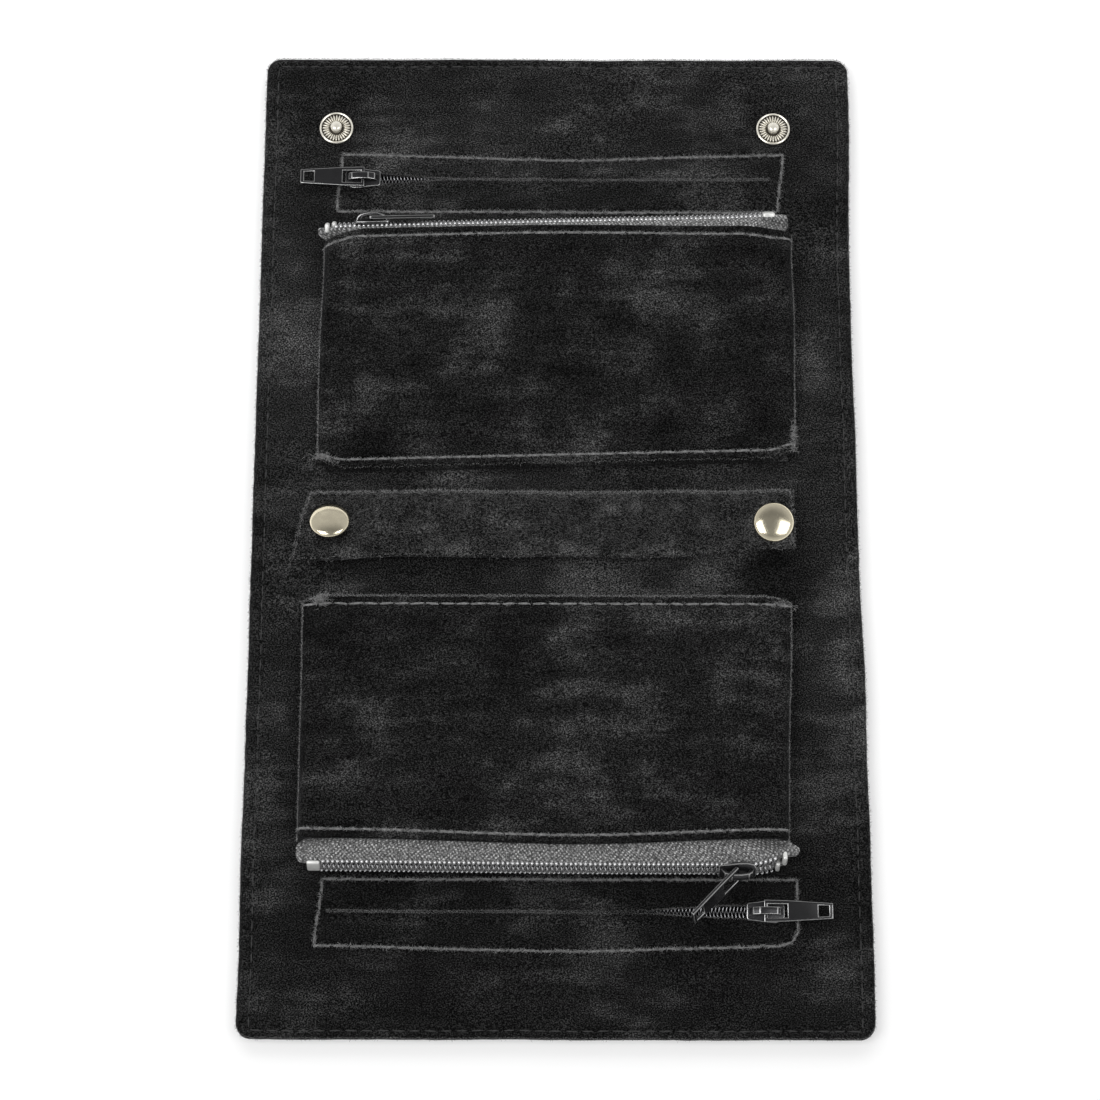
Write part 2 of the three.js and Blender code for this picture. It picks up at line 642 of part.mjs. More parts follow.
const roll = new THREE.Group();
roll.name = 'jewelry_roll';
addPanel(roll);
addSnaps(roll);
addRingBar(roll);
addSlitZip(placedGroup(roll, 0, UPPER_SLIT_Y, SLIT_CHAIN_Z, 0), 'upper_slit');
addSlitZip(placedGroup(roll, 0, LOWER_SLIT_Y, SLIT_CHAIN_Z, Math.PI), 'lower_slit');
addPouch(
  placedGroup(roll, 0, UPPER_HINGE_Y, PANEL_TOP, UPPER_POUCH_TURN),
  'upper_pouch',
  UPPER_POUCH_DEPTH,
  0,
);
addPouch(
  placedGroup(roll, LOWER_POUCH_SHIFT, LOWER_HINGE_Y, PANEL_TOP, Math.PI),
  'lower_pouch',
  LOWER_POUCH_DEPTH,
  -RAISED_PULL_ANGLE,
);

export default roll;
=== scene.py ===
# A black velvet jewelry roll, lying open on a white table and seen from above its lower edge.
# Pieces are drawn in millimetres and scaled to the frame's metres when they are finished.

import json
import math
import random
from typing import NamedTuple

import bmesh
import bpy
from mathutils import Matrix, Vector, noise


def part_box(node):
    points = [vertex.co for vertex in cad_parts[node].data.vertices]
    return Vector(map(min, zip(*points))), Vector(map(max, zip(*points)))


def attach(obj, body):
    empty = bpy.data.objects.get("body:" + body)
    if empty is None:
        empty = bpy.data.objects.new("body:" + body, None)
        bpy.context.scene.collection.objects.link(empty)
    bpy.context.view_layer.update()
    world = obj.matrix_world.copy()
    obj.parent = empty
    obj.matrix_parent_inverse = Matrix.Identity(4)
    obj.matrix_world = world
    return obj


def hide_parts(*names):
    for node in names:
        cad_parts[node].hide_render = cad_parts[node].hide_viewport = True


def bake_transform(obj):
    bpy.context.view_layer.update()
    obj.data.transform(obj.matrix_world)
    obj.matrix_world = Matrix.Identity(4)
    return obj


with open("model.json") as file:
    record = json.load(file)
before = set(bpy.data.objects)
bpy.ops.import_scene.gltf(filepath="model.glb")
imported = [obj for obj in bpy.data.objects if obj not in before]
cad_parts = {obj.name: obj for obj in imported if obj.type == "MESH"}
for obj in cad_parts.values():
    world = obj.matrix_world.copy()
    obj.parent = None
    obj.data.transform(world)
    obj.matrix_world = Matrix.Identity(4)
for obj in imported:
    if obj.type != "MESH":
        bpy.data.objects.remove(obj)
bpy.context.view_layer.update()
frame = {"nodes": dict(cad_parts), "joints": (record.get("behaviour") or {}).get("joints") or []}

MM = 0.001
UP = Vector((0, 0, 1))
RIGHT = Vector((1, 0, 0))
JOINTS = {joint["name"]: joint for joint in frame["joints"]}


def node_box(node):
    """A CAD node's low and high corner in millimetres."""
    low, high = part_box(node)
    return low / MM, high / MM


def node_middle(node):
    low, high = node_box(node)
    return (low + high) / 2


def joint_point(name):
    return Vector(JOINTS[name]["pos_m"]) / MM


# Camera, fitted to the panel's four corners in the photograph
PHOTO_SIZE = 1100
FOCAL_PIXELS = 2759.5
SENSOR_WIDTH = 36.0
CAMERA_TILT = math.radians(16)
CAMERA_ROLL = math.radians(0.1435)
CAMERA_AIM = Vector((-1.79, -6.14, 0))
CAMERA_DISTANCE = 749.2

# Padded panel
PANEL_HALF = node_box("lining_spine")[1].x
PANEL_TOP = node_box("lining_spine")[1].z
TOP_EDGE = node_box("lining_top_flap")[1].y
BOTTOM_EDGE = node_box("lining_lower")[0].y
TOP_FOLD = joint_point("top_flap_fold").y
UPPER_FOLD = joint_point("upper_fold").y
LOWER_FOLD = joint_point("lower_fold").y
PANEL_GRID = 2.0
PANEL_MIDDLE = 0.46 * PANEL_TOP
EDGE_ROUND = 1.7
EDGE_WALL = 0.35
PUCKER = 0.16
PUCKER_SPAN = 3.6
CORNER_RADIUS = 4.0
SWELL_HEIGHT = 0.22
SWELL_SPAN = 34.0
UPPER_JOIN = 62.0
SPINE_JOIN = (UPPER_FOLD + LOWER_FOLD) / 2
RIGHT_EDGE_PULLS = ((62.0, 40.0, 1.2), (-8.0, 30.0, 0.8))
WAVER = 0.28
WAVER_SPAN = 26.0
SLIT_LEANS = ((-61.0, 99.7, 0.09), (63.0, 99.7, 0.11), (-62.0, -105.4, 0.16))
LEAN_WIDTH = 9.0
LEAN_HEIGHT = 14.0
SEAM_SAGS = ((108.5, 1.7, 5.0), (-114.0, 1.5, 6.0))
SAG_SPAN = 42.0
# Darker spots of the lining: x, y, reach and darkness. The spot beside the strap's left end and the one under
# its right end are painted shadow of the strap; the two near the top edge are only darker.
SHADOW_AND_DARK_SPOTS = (
    (-77.0, -3.0, 26.0, 0.5), (50.0, 117.0, 24.0, 0.58), (-68.0, 126.0, 28.0, 0.5), (60.0, -15.0, 16.0, 0.5),
)
EDGE_CUTS = (0.25, 0.7, 1.3, 2.0)

# Snap sockets in the cover
SOCKETS = tuple(node_middle(f"closing_socket_{side}") for side in ("left", "right"))
SOCKET_PRESS = 0.72
SOCKET_PRESS_SPAN = (5.6, 9.5)
SOCKET_HOLE = 1.3
SOCKET_HOLE_SPAN = (3.0, 4.8)
SOCKET_CUTS = (-6.0, -4.5, -3.0, -1.5, 0.0, 1.5, 3.0, 4.5, 6.0)

# Seams
STITCH_PITCH = 4.1
STITCH_LENGTH = 3.7
STITCH_WIDTH = 0.62
STITCH_HEIGHT = 0.42
STITCH_SHOWN = 0.06
EDGE_STITCH_SUNK = 0.1
FIBRE_PITCH = 0.07
FIBRE_LENGTH = 1.0
FIBRE_RADIUS = 0.058
FIBRE_SPREAD = 0.2
FIBRE_RAISED = 0.3
OUTLINE_PITCH = 0.13
OUTLINE_INSET = 0.35
OUTLINE_FUZZ = (0.7, 0.25)
LIP_FIBRES = 1.8
LIP_FUZZ = (0.6, 0.1)
PILE = random.Random(23)
GROOVE_DEPTH = 0.55
GROOVE_WIDTH = 0.75
EDGE_SEAM = 3.4
EDGE_SEAM_TOP = 0.75 * EDGE_SEAM
EDGE_SEAM_BOTTOM = 0.6 * EDGE_SEAM
SEAM_CUTS = (-1.5, -0.9, -0.45, 0.0, 0.45, 0.9, 1.5)

# Slit pockets
SLIT_HALF = 60.0
SLIT_GAP = 0.04
SLIT_OPEN = 1.5
SLIT_OPEN_FROM = 9.0
SLIT_END_SHUT = 3.0
SLIT_SLOT = 0.5
SLIT_REACH = 12.0
SLIT_EASE = 4.5
SLIT_COIL_PITCH = 0.95
SLIT_COIL_RAISED = 0.75
SLIT_COIL_END = 58.0
SLIT_COIL_PARTED = 0.7
SLIT_FLOOR = 1.25
SLIT_LIP = 0.35
SLIT_LIP_AT = 1.2
SLIT_LIP_WIDTH = 1.6
SLIT_LIP_SEAT = 0.2
SLIT_CUTS = (-5.0, -3.4, -2.2, -1.3, -0.5, 0.5, 1.3, 2.2, 3.4, 5.0)
SLIT_CHAIN_Z = 2.9
SLIT_TAPE = (1.9, 12.4)
SLIT_TAPE_HALF = 58.5
SLIT_TAPE_GRID = 2.0
SLIT_SLIDER_X = -54.5
SLIT_PLATE_CLEAR = 0.3
SLIT_PLATE_BACK = -0.9
SLIT_PIN = 0.75

# Zips
ZIP_LEAN = math.radians(20)
POUCH_PIN = 2.35
ZIP_RISE = joint_point("upper_pouch_pull_swing").z - PANEL_TOP - POUCH_PIN * math.sin(ZIP_LEAN)
ZIP_END = 65.0
COIL_PITCH = 1.26
COIL_END = 59.3
COIL_PARTED = 0.8
COIL_PARTED_FROM = 3.0
COIL_REACH = 2.75
COIL_OVERLAP = 0.5
COIL_RADIUS = 0.36
COIL_HEIGHT = 0.62
COIL_SLANT = math.radians(14)
COIL_PROUD = 0.4
COIL_HEAD = 0.46
BOTTOM_STOP = ((58.8, -2.3, -1.0), (62.2, 1.9, 1.2))
BOTTOM_STOP_X = 60.0
TOP_STOP_X = -61.0
TOP_STOP_STAGGER = 0.85
TOP_STOP_APART = 1.6
TOP_STOP_LOW = (-0.6, -1.9, -1.0)
TOP_STOP_HIGH = (0.6, 1.9, 1.5)
TAPE_THICKNESS = 0.5
TAPE_WIDTH = 10.4
TAPE_GRID = 1.6
TAPE_CUTS = (0.3, 0.6, 0.9, 1.2, 1.6, 2.0, 2.6)
TAPE_TUCK = 3.0
TAPE_CORNER = 2.8
TAPE_BACK_SHORT = 3.4
PLATE_THICKNESS = 0.7
POUCH_PLATES = (1.05, -1.3)
POUCH_SLIDER_X = -49.5
PULL_REACH = 17.4
PULL_THICKNESS = 0.9

# Velvet of the pouches
POUCH_GRID = 2.2
POUCH_CLOTH = 0.5
SIDE_ROLL = 3.4
SIDE_FIBRE_PITCH = 0.11
SEAM_ROLL = 2.4
LIP_ROUND = 0.62
LIP_FOLD = 3.0
LIP_END_DROP = 1.3
TAPE_END_DROP = 3.2
HEM_TUCK = 2.2
SEAM_STITCH = 2.9
LIP_STITCH = 1.7
SEAM_BULGE = 0.7
SEAM_EDGE = 0.75
SEAM_EDGE_SUNK = 0.45
POUCH_STITCH_SHOWN = 0.22
SEAM_CORNER = 2.2
SEAM_CORNER_SPAN = 10.0
LIP_SHIFT = 0.3
FLAT_HALF = 60.0
FACE_HALF = FLAT_HALF + 2
SIDE_CLOTH = 10.0
SIDE_CUTS = (0.001, 0.15, 0.3, 0.45, 0.6, 0.75, 0.88, 0.96)
SIDE_BOW = 0.9
SIDE_FALL = 0.65
SEAM_TURNS = (0.15, 0.35, 0.6, 0.8, 1.0)
LIP_HEM = 4.0
LIP_TURNS = (0, 0.2, 0.4, 0.6, 0.8, 1.0)
POUCH_SEAM_HEIGHT = 2.5
POUCH_LIP_HEIGHT = 9.2
POUCH_FOOT = 0.5
POUCH_CROWN = 0.7
BACK_GRID = 3.0
BACK_CLOTH = 0.7
BACK_HEIGHT = 0.9
BACK_INSETS = (0.4, 2.5)
SEAM_PILE = 0.8
SIDE_PILE = 0.7
FRAY_PILE = 1.5
SEAM_EDGE_PILE = 0.6

# Ring bar and snaps
BAR_LOW, BAR_HIGH = node_box("ring_bar_anchor")
BAR_LEFT = BAR_LOW.x
BAR_RIGHT = node_box("ring_bar_strap")[1].x
BAR_MIDDLE = (BAR_LOW.y + BAR_HIGH.y) / 2
BAR_HALF = (BAR_HIGH.y - BAR_LOW.y) / 2
BAR_SAG = 1.3
STRAP_GRID = 1.0
STRAP_LEAN = 1.3
STRAP_SLANT = 2.2
STRAP_LONGER = 2.2
STRAP_END_SPAN = 26.0
STRAP_END_REACH = 1.0
STRAP_SHIFT = 0.2
STRAP_TURN = 1.0
STRAP_CREASE = 1.2
STRAP_STEP = 2.2
STRAP_STEP_SPAN = (36, 48)
STRAP_FUZZ = (1.1, 0.35)
STRAP_FUR = 9000
STRAP_FUR_PILE = (1.3, 0.35)
STRAP_LOW_EDGE = 6
CAP_RADIUS = 5.45
CAP_HEIGHT = 1.8
CAP_ANGLES = (0.25, 0.5, 0.75, 1.0, 1.2, 1.4)
CAP_LEFT = node_middle("ring_bar_cap_left")
CAP_RIGHT = node_middle("ring_bar_cap_right")
CAP_TILT_LEFT = math.radians(-20)
CAP_TILT_RIGHT = math.radians(4)
RIBS = 28

# Profiles of the snaps: radius and height
CAP_RIM = ((0, -0.1), (1.5, -0.1), (4.6, -0.15), (5.2, -0.1), (CAP_RADIUS, 0.1), (CAP_RADIUS, 0.35))
CAP_SOCKET = ((0, 1.5), (2.1, 1.5), (2.1, 0), (4.1, 0), (4.5, 0.3), (4.5, 1.6), (1.5, 1.9))
STUD = (
    (1.5, 0.05), (4.3, 0.05), (4.65, 0.2), (4.75, 0.45), (4.68, 0.68), (4.45, 0.8), (4.22, 0.68),
    (4.1, 0.25), (1.9, 0.25), (1.45, 0.3), (1.4, 1.1), (1.6, 1.4), (1.6, 1.7), (1.4, 2.0), (1.0, 2.25),
    (0.5, 2.37), (0, 2.4),
)
COVER_SOCKET = (
    (0, 1.6), (1.9, 1.6), (2.15, 1.3), (2.15, 0.3), (2.5, 0.1), (3.6, 0.1), (4.0, 0.3), (5.2, 0.3),
    (5.45, 0.45), (5.4, 0.62), (4.1, 0.66), (3.9, 1.5), (3.6, 1.8), (0, 1.85),
)

# Lamps: name, place in metres, width, height and power
SOFT_BOXES = (
    ("back_box", (-0.1, 0.65, 0.55), 1.2, 0.5, 4.4),
    ("left_box", (-0.54, -0.13, 0.95), 0.56, 0.6, 4.6),
    ("right_box", (0.54, -0.13, 0.95), 0.56, 0.6, 2.6),
)


class Pouch(NamedTuple):
    """A zipped pouch in its own frame: its seam is y = 0, y runs out to its zip, whose top end is at -x.

    Pairs are for the zip's top and bottom end: the reach of the seam, the lip and the tape to that side, and
    how far the lip lies behind the zip. Each fuzz is the pitch of the pile along the seam or its edge, and
    the seam's corners are rounded over the corner's reach. Each curl is how far the lip or the zip is drawn
    in at one end, with the x where it begins. The rolls turn the zip and its slider on their middle line,
    and the pull is tilted and twisted on that slider. Each fray is a tuft of loose pile: its place, its
    spread and its fibres.
    """
    name: str
    section: str
    shift: float
    depth: float
    seam_sides: tuple
    lip_sides: tuple
    tape_sides: tuple
    seam_shift: float
    seam_fuzz: float
    edge_fuzz: float
    corner_reach: float
    zip_roll: float
    slider_roll: float
    lip_back: tuple
    lip_top_curl: tuple
    lip_bottom_curl: tuple
    zip_top_curl: tuple
    zip_bottom_curl: tuple
    frays: tuple
    pull_tilt: float
    pull_twist: float


UPPER_POUCH = Pouch(
    "upper_pouch", "upper_section", shift=0.0, depth=70.3,
    seam_sides=(65.5, 65.2), lip_sides=(62.9, 67.2), tape_sides=(64.8, 65.8), seam_shift=0.3, seam_fuzz=0.09,
    edge_fuzz=0.5, corner_reach=30.0, zip_roll=math.radians(9), slider_roll=math.radians(9),
    lip_back=(3.2, 4.9),
    lip_top_curl=(2.4, 52.0), lip_bottom_curl=(1.4, 50.0),
    zip_top_curl=(0.5, 58.0), zip_bottom_curl=(-0.4, 46.0),
    frays=((-63.0, 2.4, 1.8, 0.5, 150), (64.6, 4.5, 0.5, 2.4, 200)), pull_tilt=0.0, pull_twist=0.0,
)
LOWER_POUCH = Pouch(
    "lower_pouch", "lower_section", shift=-2.5, depth=72.2,
    seam_sides=(65.7, 65.8), lip_sides=(63.3, 65.5), tape_sides=(66.0, 65.1), seam_shift=-1.9, seam_fuzz=0.3,
    edge_fuzz=0.1, corner_reach=5.5, zip_roll=0.0, slider_roll=math.radians(16), lip_back=(6.1, 7.6),
    lip_top_curl=(1.7, 8.0), lip_bottom_curl=(0.3, 56.0),
    zip_top_curl=(2.7, 53.0), zip_bottom_curl=(0.7, -20.0),
    frays=((60.6, 1.5, 1.1, 0.9, 240), (-63.0, 2.8, 1.8, 0.4, 100)),
    pull_tilt=math.radians(-47), pull_twist=math.radians(12),
)


def smooth(value, start, end):
    """0 before start, 1 after end and an even curve between."""
    t = min(max((value - start) / (end - start), 0.0), 1.0)
    return t * t * (3 - 2 * t)


def hump(distance, width):
    return math.exp(-(distance / width) ** 2)


def ripple(x, y, span, seed):
    """An even ripple between about -1 and 1, with bumps about one span apart."""
    return noise.noise(Vector((x / span, y / span, seed)))


# Materials


def new_material(name):
    material = bpy.data.materials.new(name)
    material.use_nodes = True
    tree = material.node_tree
    return material, tree, tree.nodes["Principled BSDF"]


def feed(tree, socket, value):
    """Links a socket to another one, or sets its constant."""
    if isinstance(value, bpy.types.NodeSocket):
        tree.links.new(value, socket)
    else:
        socket.default_value = value


def set_inputs(tree, node, **values):
    for name, value in values.items():
        feed(tree, node.inputs[name.replace("_", " ")], value)


def add_node(tree, kind, **values):
    node = tree.nodes.new(kind)
    set_inputs(tree, node, **values)
    return node


def object_place(tree, stretch=(1, 1, 1)):
    place = add_node(tree, "ShaderNodeTexCoord").outputs["Object"]
    return add_node(tree, "ShaderNodeMapping", Vector=place, Scale=stretch).outputs["Vector"]


def noise_field(tree, scale, detail=2.0, roughness=0.5, stretch=(1, 1, 1)):
    place = object_place(tree, stretch)
    field = add_node(
        tree, "ShaderNodeTexNoise", Vector=place, Scale=scale, Detail=detail, Roughness=roughness
    )
    return field.outputs["Fac"]


def ramp(tree, factor, *stops):
    """Colours along a 0 to 1 factor, from (place, grey or colour) stops."""
    node = tree.nodes.new("ShaderNodeValToRGB")
    tree.links.new(factor, node.inputs["Fac"])
    while len(node.color_ramp.elements) < len(stops):
        node.color_ramp.elements.new(0.5)
    for element, (place, colour) in zip(node.color_ramp.elements, stops):
        element.position = place
        rgb = colour if isinstance(colour, tuple) else (colour, colour, colour)
        element.color = (*rgb, 1)
    return node.outputs["Color"]


def math_node(tree, operation, *values):
    node = tree.nodes.new("ShaderNodeMath")
    node.operation = operation
    for socket, value in zip(node.inputs, values):
        feed(tree, socket, value)
    return node.outputs["Value"]


def multiply(tree, a, b):
    """One colour times another."""
    node = tree.nodes.new("ShaderNodeMix")
    node.data_type = "RGBA"
    node.blend_type = "MULTIPLY"
    for name, value in (("Factor", 1.0), ("A", a), ("B", b)):
        feed(tree, next(s for s in node.inputs if s.name == name and s.enabled), value)
    return next(s for s in node.outputs if s.enabled)


def add_bump(tree, shader, height, distance, strength):
    bump = add_node(tree, "ShaderNodeBump", Height=height, Distance=distance, Strength=strength)
    set_inputs(tree, shader, Normal=bump.outputs["Normal"])


def painted_lining_shade(tree):
    """The lining's brightness by place: lighter along the sides, painted shade towards the lower edge and in
    a band just below the upper slit, and darker spots, two of them painted shadow of the strap.
    """
    place = object_place(tree)
    ways = add_node(tree, "ShaderNodeSeparateXYZ", Vector=place)
    up = math_node(tree, "MULTIPLY_ADD", ways.outputs["Y"], 1 / (TOP_EDGE - BOTTOM_EDGE) / MM, 0.5)
    out = math_node(tree, "ABSOLUTE", ways.outputs["X"])
    out = math_node(tree, "MULTIPLY", out, 1 / PANEL_HALF / MM)
    # Painted shade: darker towards the lower edge and in a band just below the upper slit, lighter at the
    # top.
    shade = ramp(
        tree, up, (0.04, 0.66), (0.13, 0.52), (0.3, 0.85), (0.5, 1.0), (0.79, 1.05), (0.825, 0.7),
        (0.855, 0.72), (0.875, 1.05), (1.0, 1.12),
    )
    shade = multiply(tree, shade, ramp(tree, out, (0.72, 0.96), (0.92, 1.14)))
    for x, y, reach, dark in SHADOW_AND_DARK_SPOTS:
        away = tree.nodes.new("ShaderNodeVectorMath")
        away.operation = "DISTANCE"
        tree.links.new(place, away.inputs[0])
        away.inputs[1].default_value = Vector((x, y, PANEL_TOP)) * MM
        away = math_node(tree, "MULTIPLY", away.outputs["Value"], 1 / reach / MM)
        shade = multiply(tree, shade, ramp(tree, away, (0.3, dark), (1.0, 1.0)))
    return shade


def velvet(name, dark, light, patch_span, streak, seed, with_painted_shade=False):
    """Short black pile: brushed patches, lengthways streaks and single fibres that catch the light."""
    material, tree, shader = new_material(name)
    patches = noise_field(tree, 1 / (patch_span * MM), 4.0, 0.6, (1 + seed, 1 + seed, 1))
    streaks = noise_field(tree, 1 / (5.0 * MM), 3.0, 0.6, streak)
    fibres = noise_field(tree, 1 / (0.34 * MM), 2.0, 0.7, (0.85, 1, 1))
    brushed = math_node(tree, "MULTIPLY_ADD", streaks, 0.55, patches)
    pile = ramp(tree, brushed, (0.56, dark), (0.8, 0.3 * (dark + light)), (1.04, light))
    speckle = ramp(tree, fibres, (0.36, 0.06), (0.5, 0.52), (0.65, 3.2))
    colour = multiply(tree, pile, speckle)
    # The lining takes its painted shade and darker spots by place.
    if with_painted_shade:
        colour = multiply(tree, colour, painted_lining_shade(tree))
    set_inputs(
        tree, shader, Base_Color=colour, Roughness=0.95, Specular_IOR_Level=0.03,
        Sheen_Weight=0.06, Sheen_Roughness=0.35, Sheen_Tint=(0.85, 0.86, 0.9, 1),
    )
    add_bump(tree, shader, fibres, 0.25 * MM, 0.9)
    return material


def thread(name, dark, light):
    """Thread or loose pile: soft fibres of uneven grey."""
    material, tree, shader = new_material(name)
    fibres = noise_field(tree, 1 / (0.8 * MM), 3.0, 0.7)
    grey = ramp(tree, fibres, (0.3, dark), (0.55, (dark + light) / 2), (0.75, light))
    set_inputs(tree, shader, Base_Color=grey, Roughness=0.85, Sheen_Weight=0.3)
    add_bump(tree, shader, fibres, 0.2 * MM, 0.8)
    return material


def tape_weave():
    """Grey twill tape: crossing yarns along the tape's own length and width."""
    material, tree, shader = new_material("twill_tape")
    place = add_node(tree, "ShaderNodeUVMap").outputs["UV"]
    yarns = []
    for turn in (math.radians(38), math.radians(-52)):
        turned = add_node(tree, "ShaderNodeMapping", Vector=place, Rotation=(0, 0, turn)).outputs["Vector"]
        wave = add_node(tree, "ShaderNodeTexWave", Vector=turned, Scale=0.4, Distortion=2.0)
        yarns.append(wave.outputs["Fac"])
    weave = math_node(tree, "MULTIPLY", *yarns)
    fibres = noise_field(tree, 1 / (0.55 * MM), 2.0, 0.8)
    yarn_colour = ramp(tree, weave, (0.0, 0.08), (0.3, 0.15), (0.85, 0.3))
    speckle = ramp(tree, fibres, (0.36, 0.25), (0.5, 0.85), (0.64, 2.4))
    set_inputs(tree, shader, Base_Color=multiply(tree, yarn_colour, speckle), Roughness=0.8, Sheen_Weight=0.1)
    add_bump(tree, shader, weave, 0.12 * MM, 0.8)
    return material


def gloss(name, colour, metallic, roughness, grain, specular=0.5):
    """A hard finish with faint cloudiness and fine scratches in its gloss."""
    material, tree, shader = new_material(name)
    clouds = noise_field(tree, 1 / (2.5 * MM), 3.0, 0.6)
    low = tuple(0.86 * c for c in colour)
    cloudy = ramp(tree, clouds, (0.3, low), (0.7, colour))
    scratches = noise_field(tree, 1 / (0.7 * MM), 2.0, 0.6, (1, 6, 1))
    rough = ramp(tree, scratches, (0.3, roughness), (0.75, roughness + grain))
    set_inputs(
        tree, shader, Base_Color=cloudy, Metallic=metallic, Specular_IOR_Level=specular, Roughness=rough
    )
    return material


# The lining's velvet carries painted shade by place.
LINING_VELVET = velvet("lining_velvet", 0.011, 0.056, 30.0, (0.3, 1, 1), 0.0, with_painted_shade=True)
COVER_VELVET = velvet("cover_velvet", 0.006, 0.026, 50.0, (0.35, 1, 1), 0.13)
POUCH_VELVET = velvet("pouch_velvet", 0.006, 0.04, 26.0, (0.22, 1, 1), 0.31)
STRAP_VELVET = velvet("strap_velvet", 0.008, 0.06, 10.0, (0.3, 1, 1), 0.57)
THREAD = thread("grey_thread", 0.05, 0.3)
DARK_THREAD = thread("dark_thread", 0.008, 0.05)
# Painted sheen: the loose pile is as black as the velvet, and its grey stands for the light its fibres catch
# at seams and edges.
PILE_TIPS_SHEEN = thread("pile_tips", 0.07, 0.42)
EDGE_PILE_SHEEN = thread("edge_pile", 0.03, 0.26)
STRAP_PILE_SHEEN = thread("strap_pile", 0.008, 0.17)
TAPE_WEAVE = tape_weave()
# The zips' coil is black nylon. The pouch zips' copy is a pale polished metal so that its turns show bright
# dots: painted highlights. The slit zips' darker copy is painted shade in the slit.
LIT_COIL = gloss("polished_coil", (0.76, 0.76, 0.77), 0.88, 0.18, 0.1)
SHADED_COIL = gloss("shaded_coil", (0.32, 0.32, 0.33), 1.0, 0.2, 0.1)
GUNMETAL = gloss("gunmetal", (0.035, 0.035, 0.037), 0.7, 0.24, 0.12)
BLACK_ENAMEL = gloss("black_enamel", (0.014, 0.014, 0.015), 0.0, 0.16, 0.1, 0.45)
# Painted highlight: a pale metal on the rounded edges of the dark sliders and pulls.
EDGE_HIGHLIGHT = gloss("worn_edge", (0.48, 0.48, 0.48), 1.0, 0.26, 0.15)
# Painted shade: a dark metal for the sunk ring between a stud's ribs.
RECESS_SHADE = gloss("dark_recess", (0.05, 0.042, 0.03), 0.6, 0.5, 0.2)
BRIGHT_STOP = gloss("bright_stop", (0.9, 0.9, 0.88), 0.5, 0.32, 0.15)
PALE_NICKEL = gloss("pale_nickel", (0.92, 0.84, 0.64), 1.0, 0.13, 0.08)
# A copy of the pale nickel, whiter and partly diffuse, so that the studs look brightly lit: painted
# highlight.
LIT_STUD_NICKEL = gloss("stud_nickel", (0.99, 0.95, 0.84), 0.55, 0.16, 0.1)


# Making pieces


def split(mesh, place, across):
    """Cuts the whole mesh along a plane, so that it can bend there."""
    geometry = mesh.verts[:] + mesh.edges[:] + mesh.faces[:]
    bmesh.ops.bisect_plane(mesh, geom=geometry, dist=0.02, plane_co=place, plane_no=across)


def cloth_grid(low, high, step, across=(), along=()):
    """A flat grid between two corners, cut again at places in X and Y, with its weave in a UV map."""
    mesh = bmesh.new()
    size = Vector(high) - Vector(low)
    middle = (Vector(high) + Vector(low)) / 2
    columns = max(2, round(size.x / step))
    rows = max(2, round(size.y / step))
    bmesh.ops.create_grid(mesh, x_segments=columns, y_segments=rows, size=0.5)
    bmesh.ops.scale(mesh, vec=(size.x, size.y, 1), verts=mesh.verts)
    bmesh.ops.translate(mesh, vec=(middle.x, middle.y, 0), verts=mesh.verts)
    for x in across:
        split(mesh, (x, 0, 0), (1, 0, 0))
    for y in along:
        split(mesh, (0, y, 0), (0, 1, 0))
    weave = mesh.loops.layers.uv.new("weave")
    for face in mesh.faces:
        for loop in face.loops:
            loop[weave].uv = loop.vert.co.xy
    return mesh


def shape(mesh, place):
    for vert in mesh.verts:
        vert.co = place(*vert.co)


def extrude(mesh, faces):
    """Extrudes faces where they lie, and returns the new vertices."""
    made = bmesh.ops.extrude_face_region(mesh, geom=faces)["geom"]
    return [part for part in made if isinstance(part, bmesh.types.BMVert)]


def thicken(mesh, thickness):
    """Gives a cloth its thickness, on the side away from its face."""
    mesh.normal_update()
    for vert in extrude(mesh, mesh.faces[:]):
        vert.co -= vert.normal * thickness
    bmesh.ops.recalc_face_normals(mesh, faces=mesh.faces)


def bead(mesh):
    """A small ball, to be stretched to a stitch, a turn of coil or a rib."""
    bmesh.ops.create_uvsphere(mesh, u_segments=8, v_segments=7, radius=1)


def spike(mesh):
    """A pointed hair of unit length along Z."""
    bmesh.ops.create_cone(mesh, cap_ends=True, segments=3, radius1=1, radius2=0, depth=1)


def repeat(mesh, make, places):
    """Adds a small shape, made once, at each place."""
    part = bmesh.new()
    make(part)
    first = bpy.data.meshes.new("small_shape")
    part.to_mesh(first)
    part.free()
    for place in places:
        copy = first.copy()
        copy.transform(place)
        mesh.from_mesh(copy)
        bpy.data.meshes.remove(copy)
    bpy.data.meshes.remove(first)


def new_piece(name, mesh, *materials, sharp=35):
    """A finished piece from a mesh in millimetres."""
    bmesh.ops.scale(mesh, vec=(MM, MM, MM), verts=mesh.verts)
    data = bpy.data.meshes.new(name)
    mesh.to_mesh(data)
    mesh.free()
    for material in materials:
        data.materials.append(material)
    data.shade_smooth()
    data.set_sharp_from_angle(angle=math.radians(sharp))
    piece = bpy.data.objects.new(name, data)
    bpy.context.collection.objects.link(piece)
    return piece


def scattered(name, make, places, material, sharp=35):
    """A piece of many small shapes, one at each place."""
    mesh = bmesh.new()
    repeat(mesh, make, places)
    return new_piece(name, mesh, material, sharp=sharp)


def on_body(piece, body, slot, *nodes):
    """The piece rides on a body and stands for CAD nodes, which are hidden. The slot is not used."""
    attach(piece, body)
    if nodes:
        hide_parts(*nodes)


# Seams on the panel


def outline(*points):
    """The straight lengths of a closed outline."""
    corners = [Vector(point) for point in points]
    return list(zip(corners, corners[1:] + corners[:1]))


def rectangle(left, bottom, right, top):
    return outline((left, bottom), (right, bottom), (right, top), (left, top))


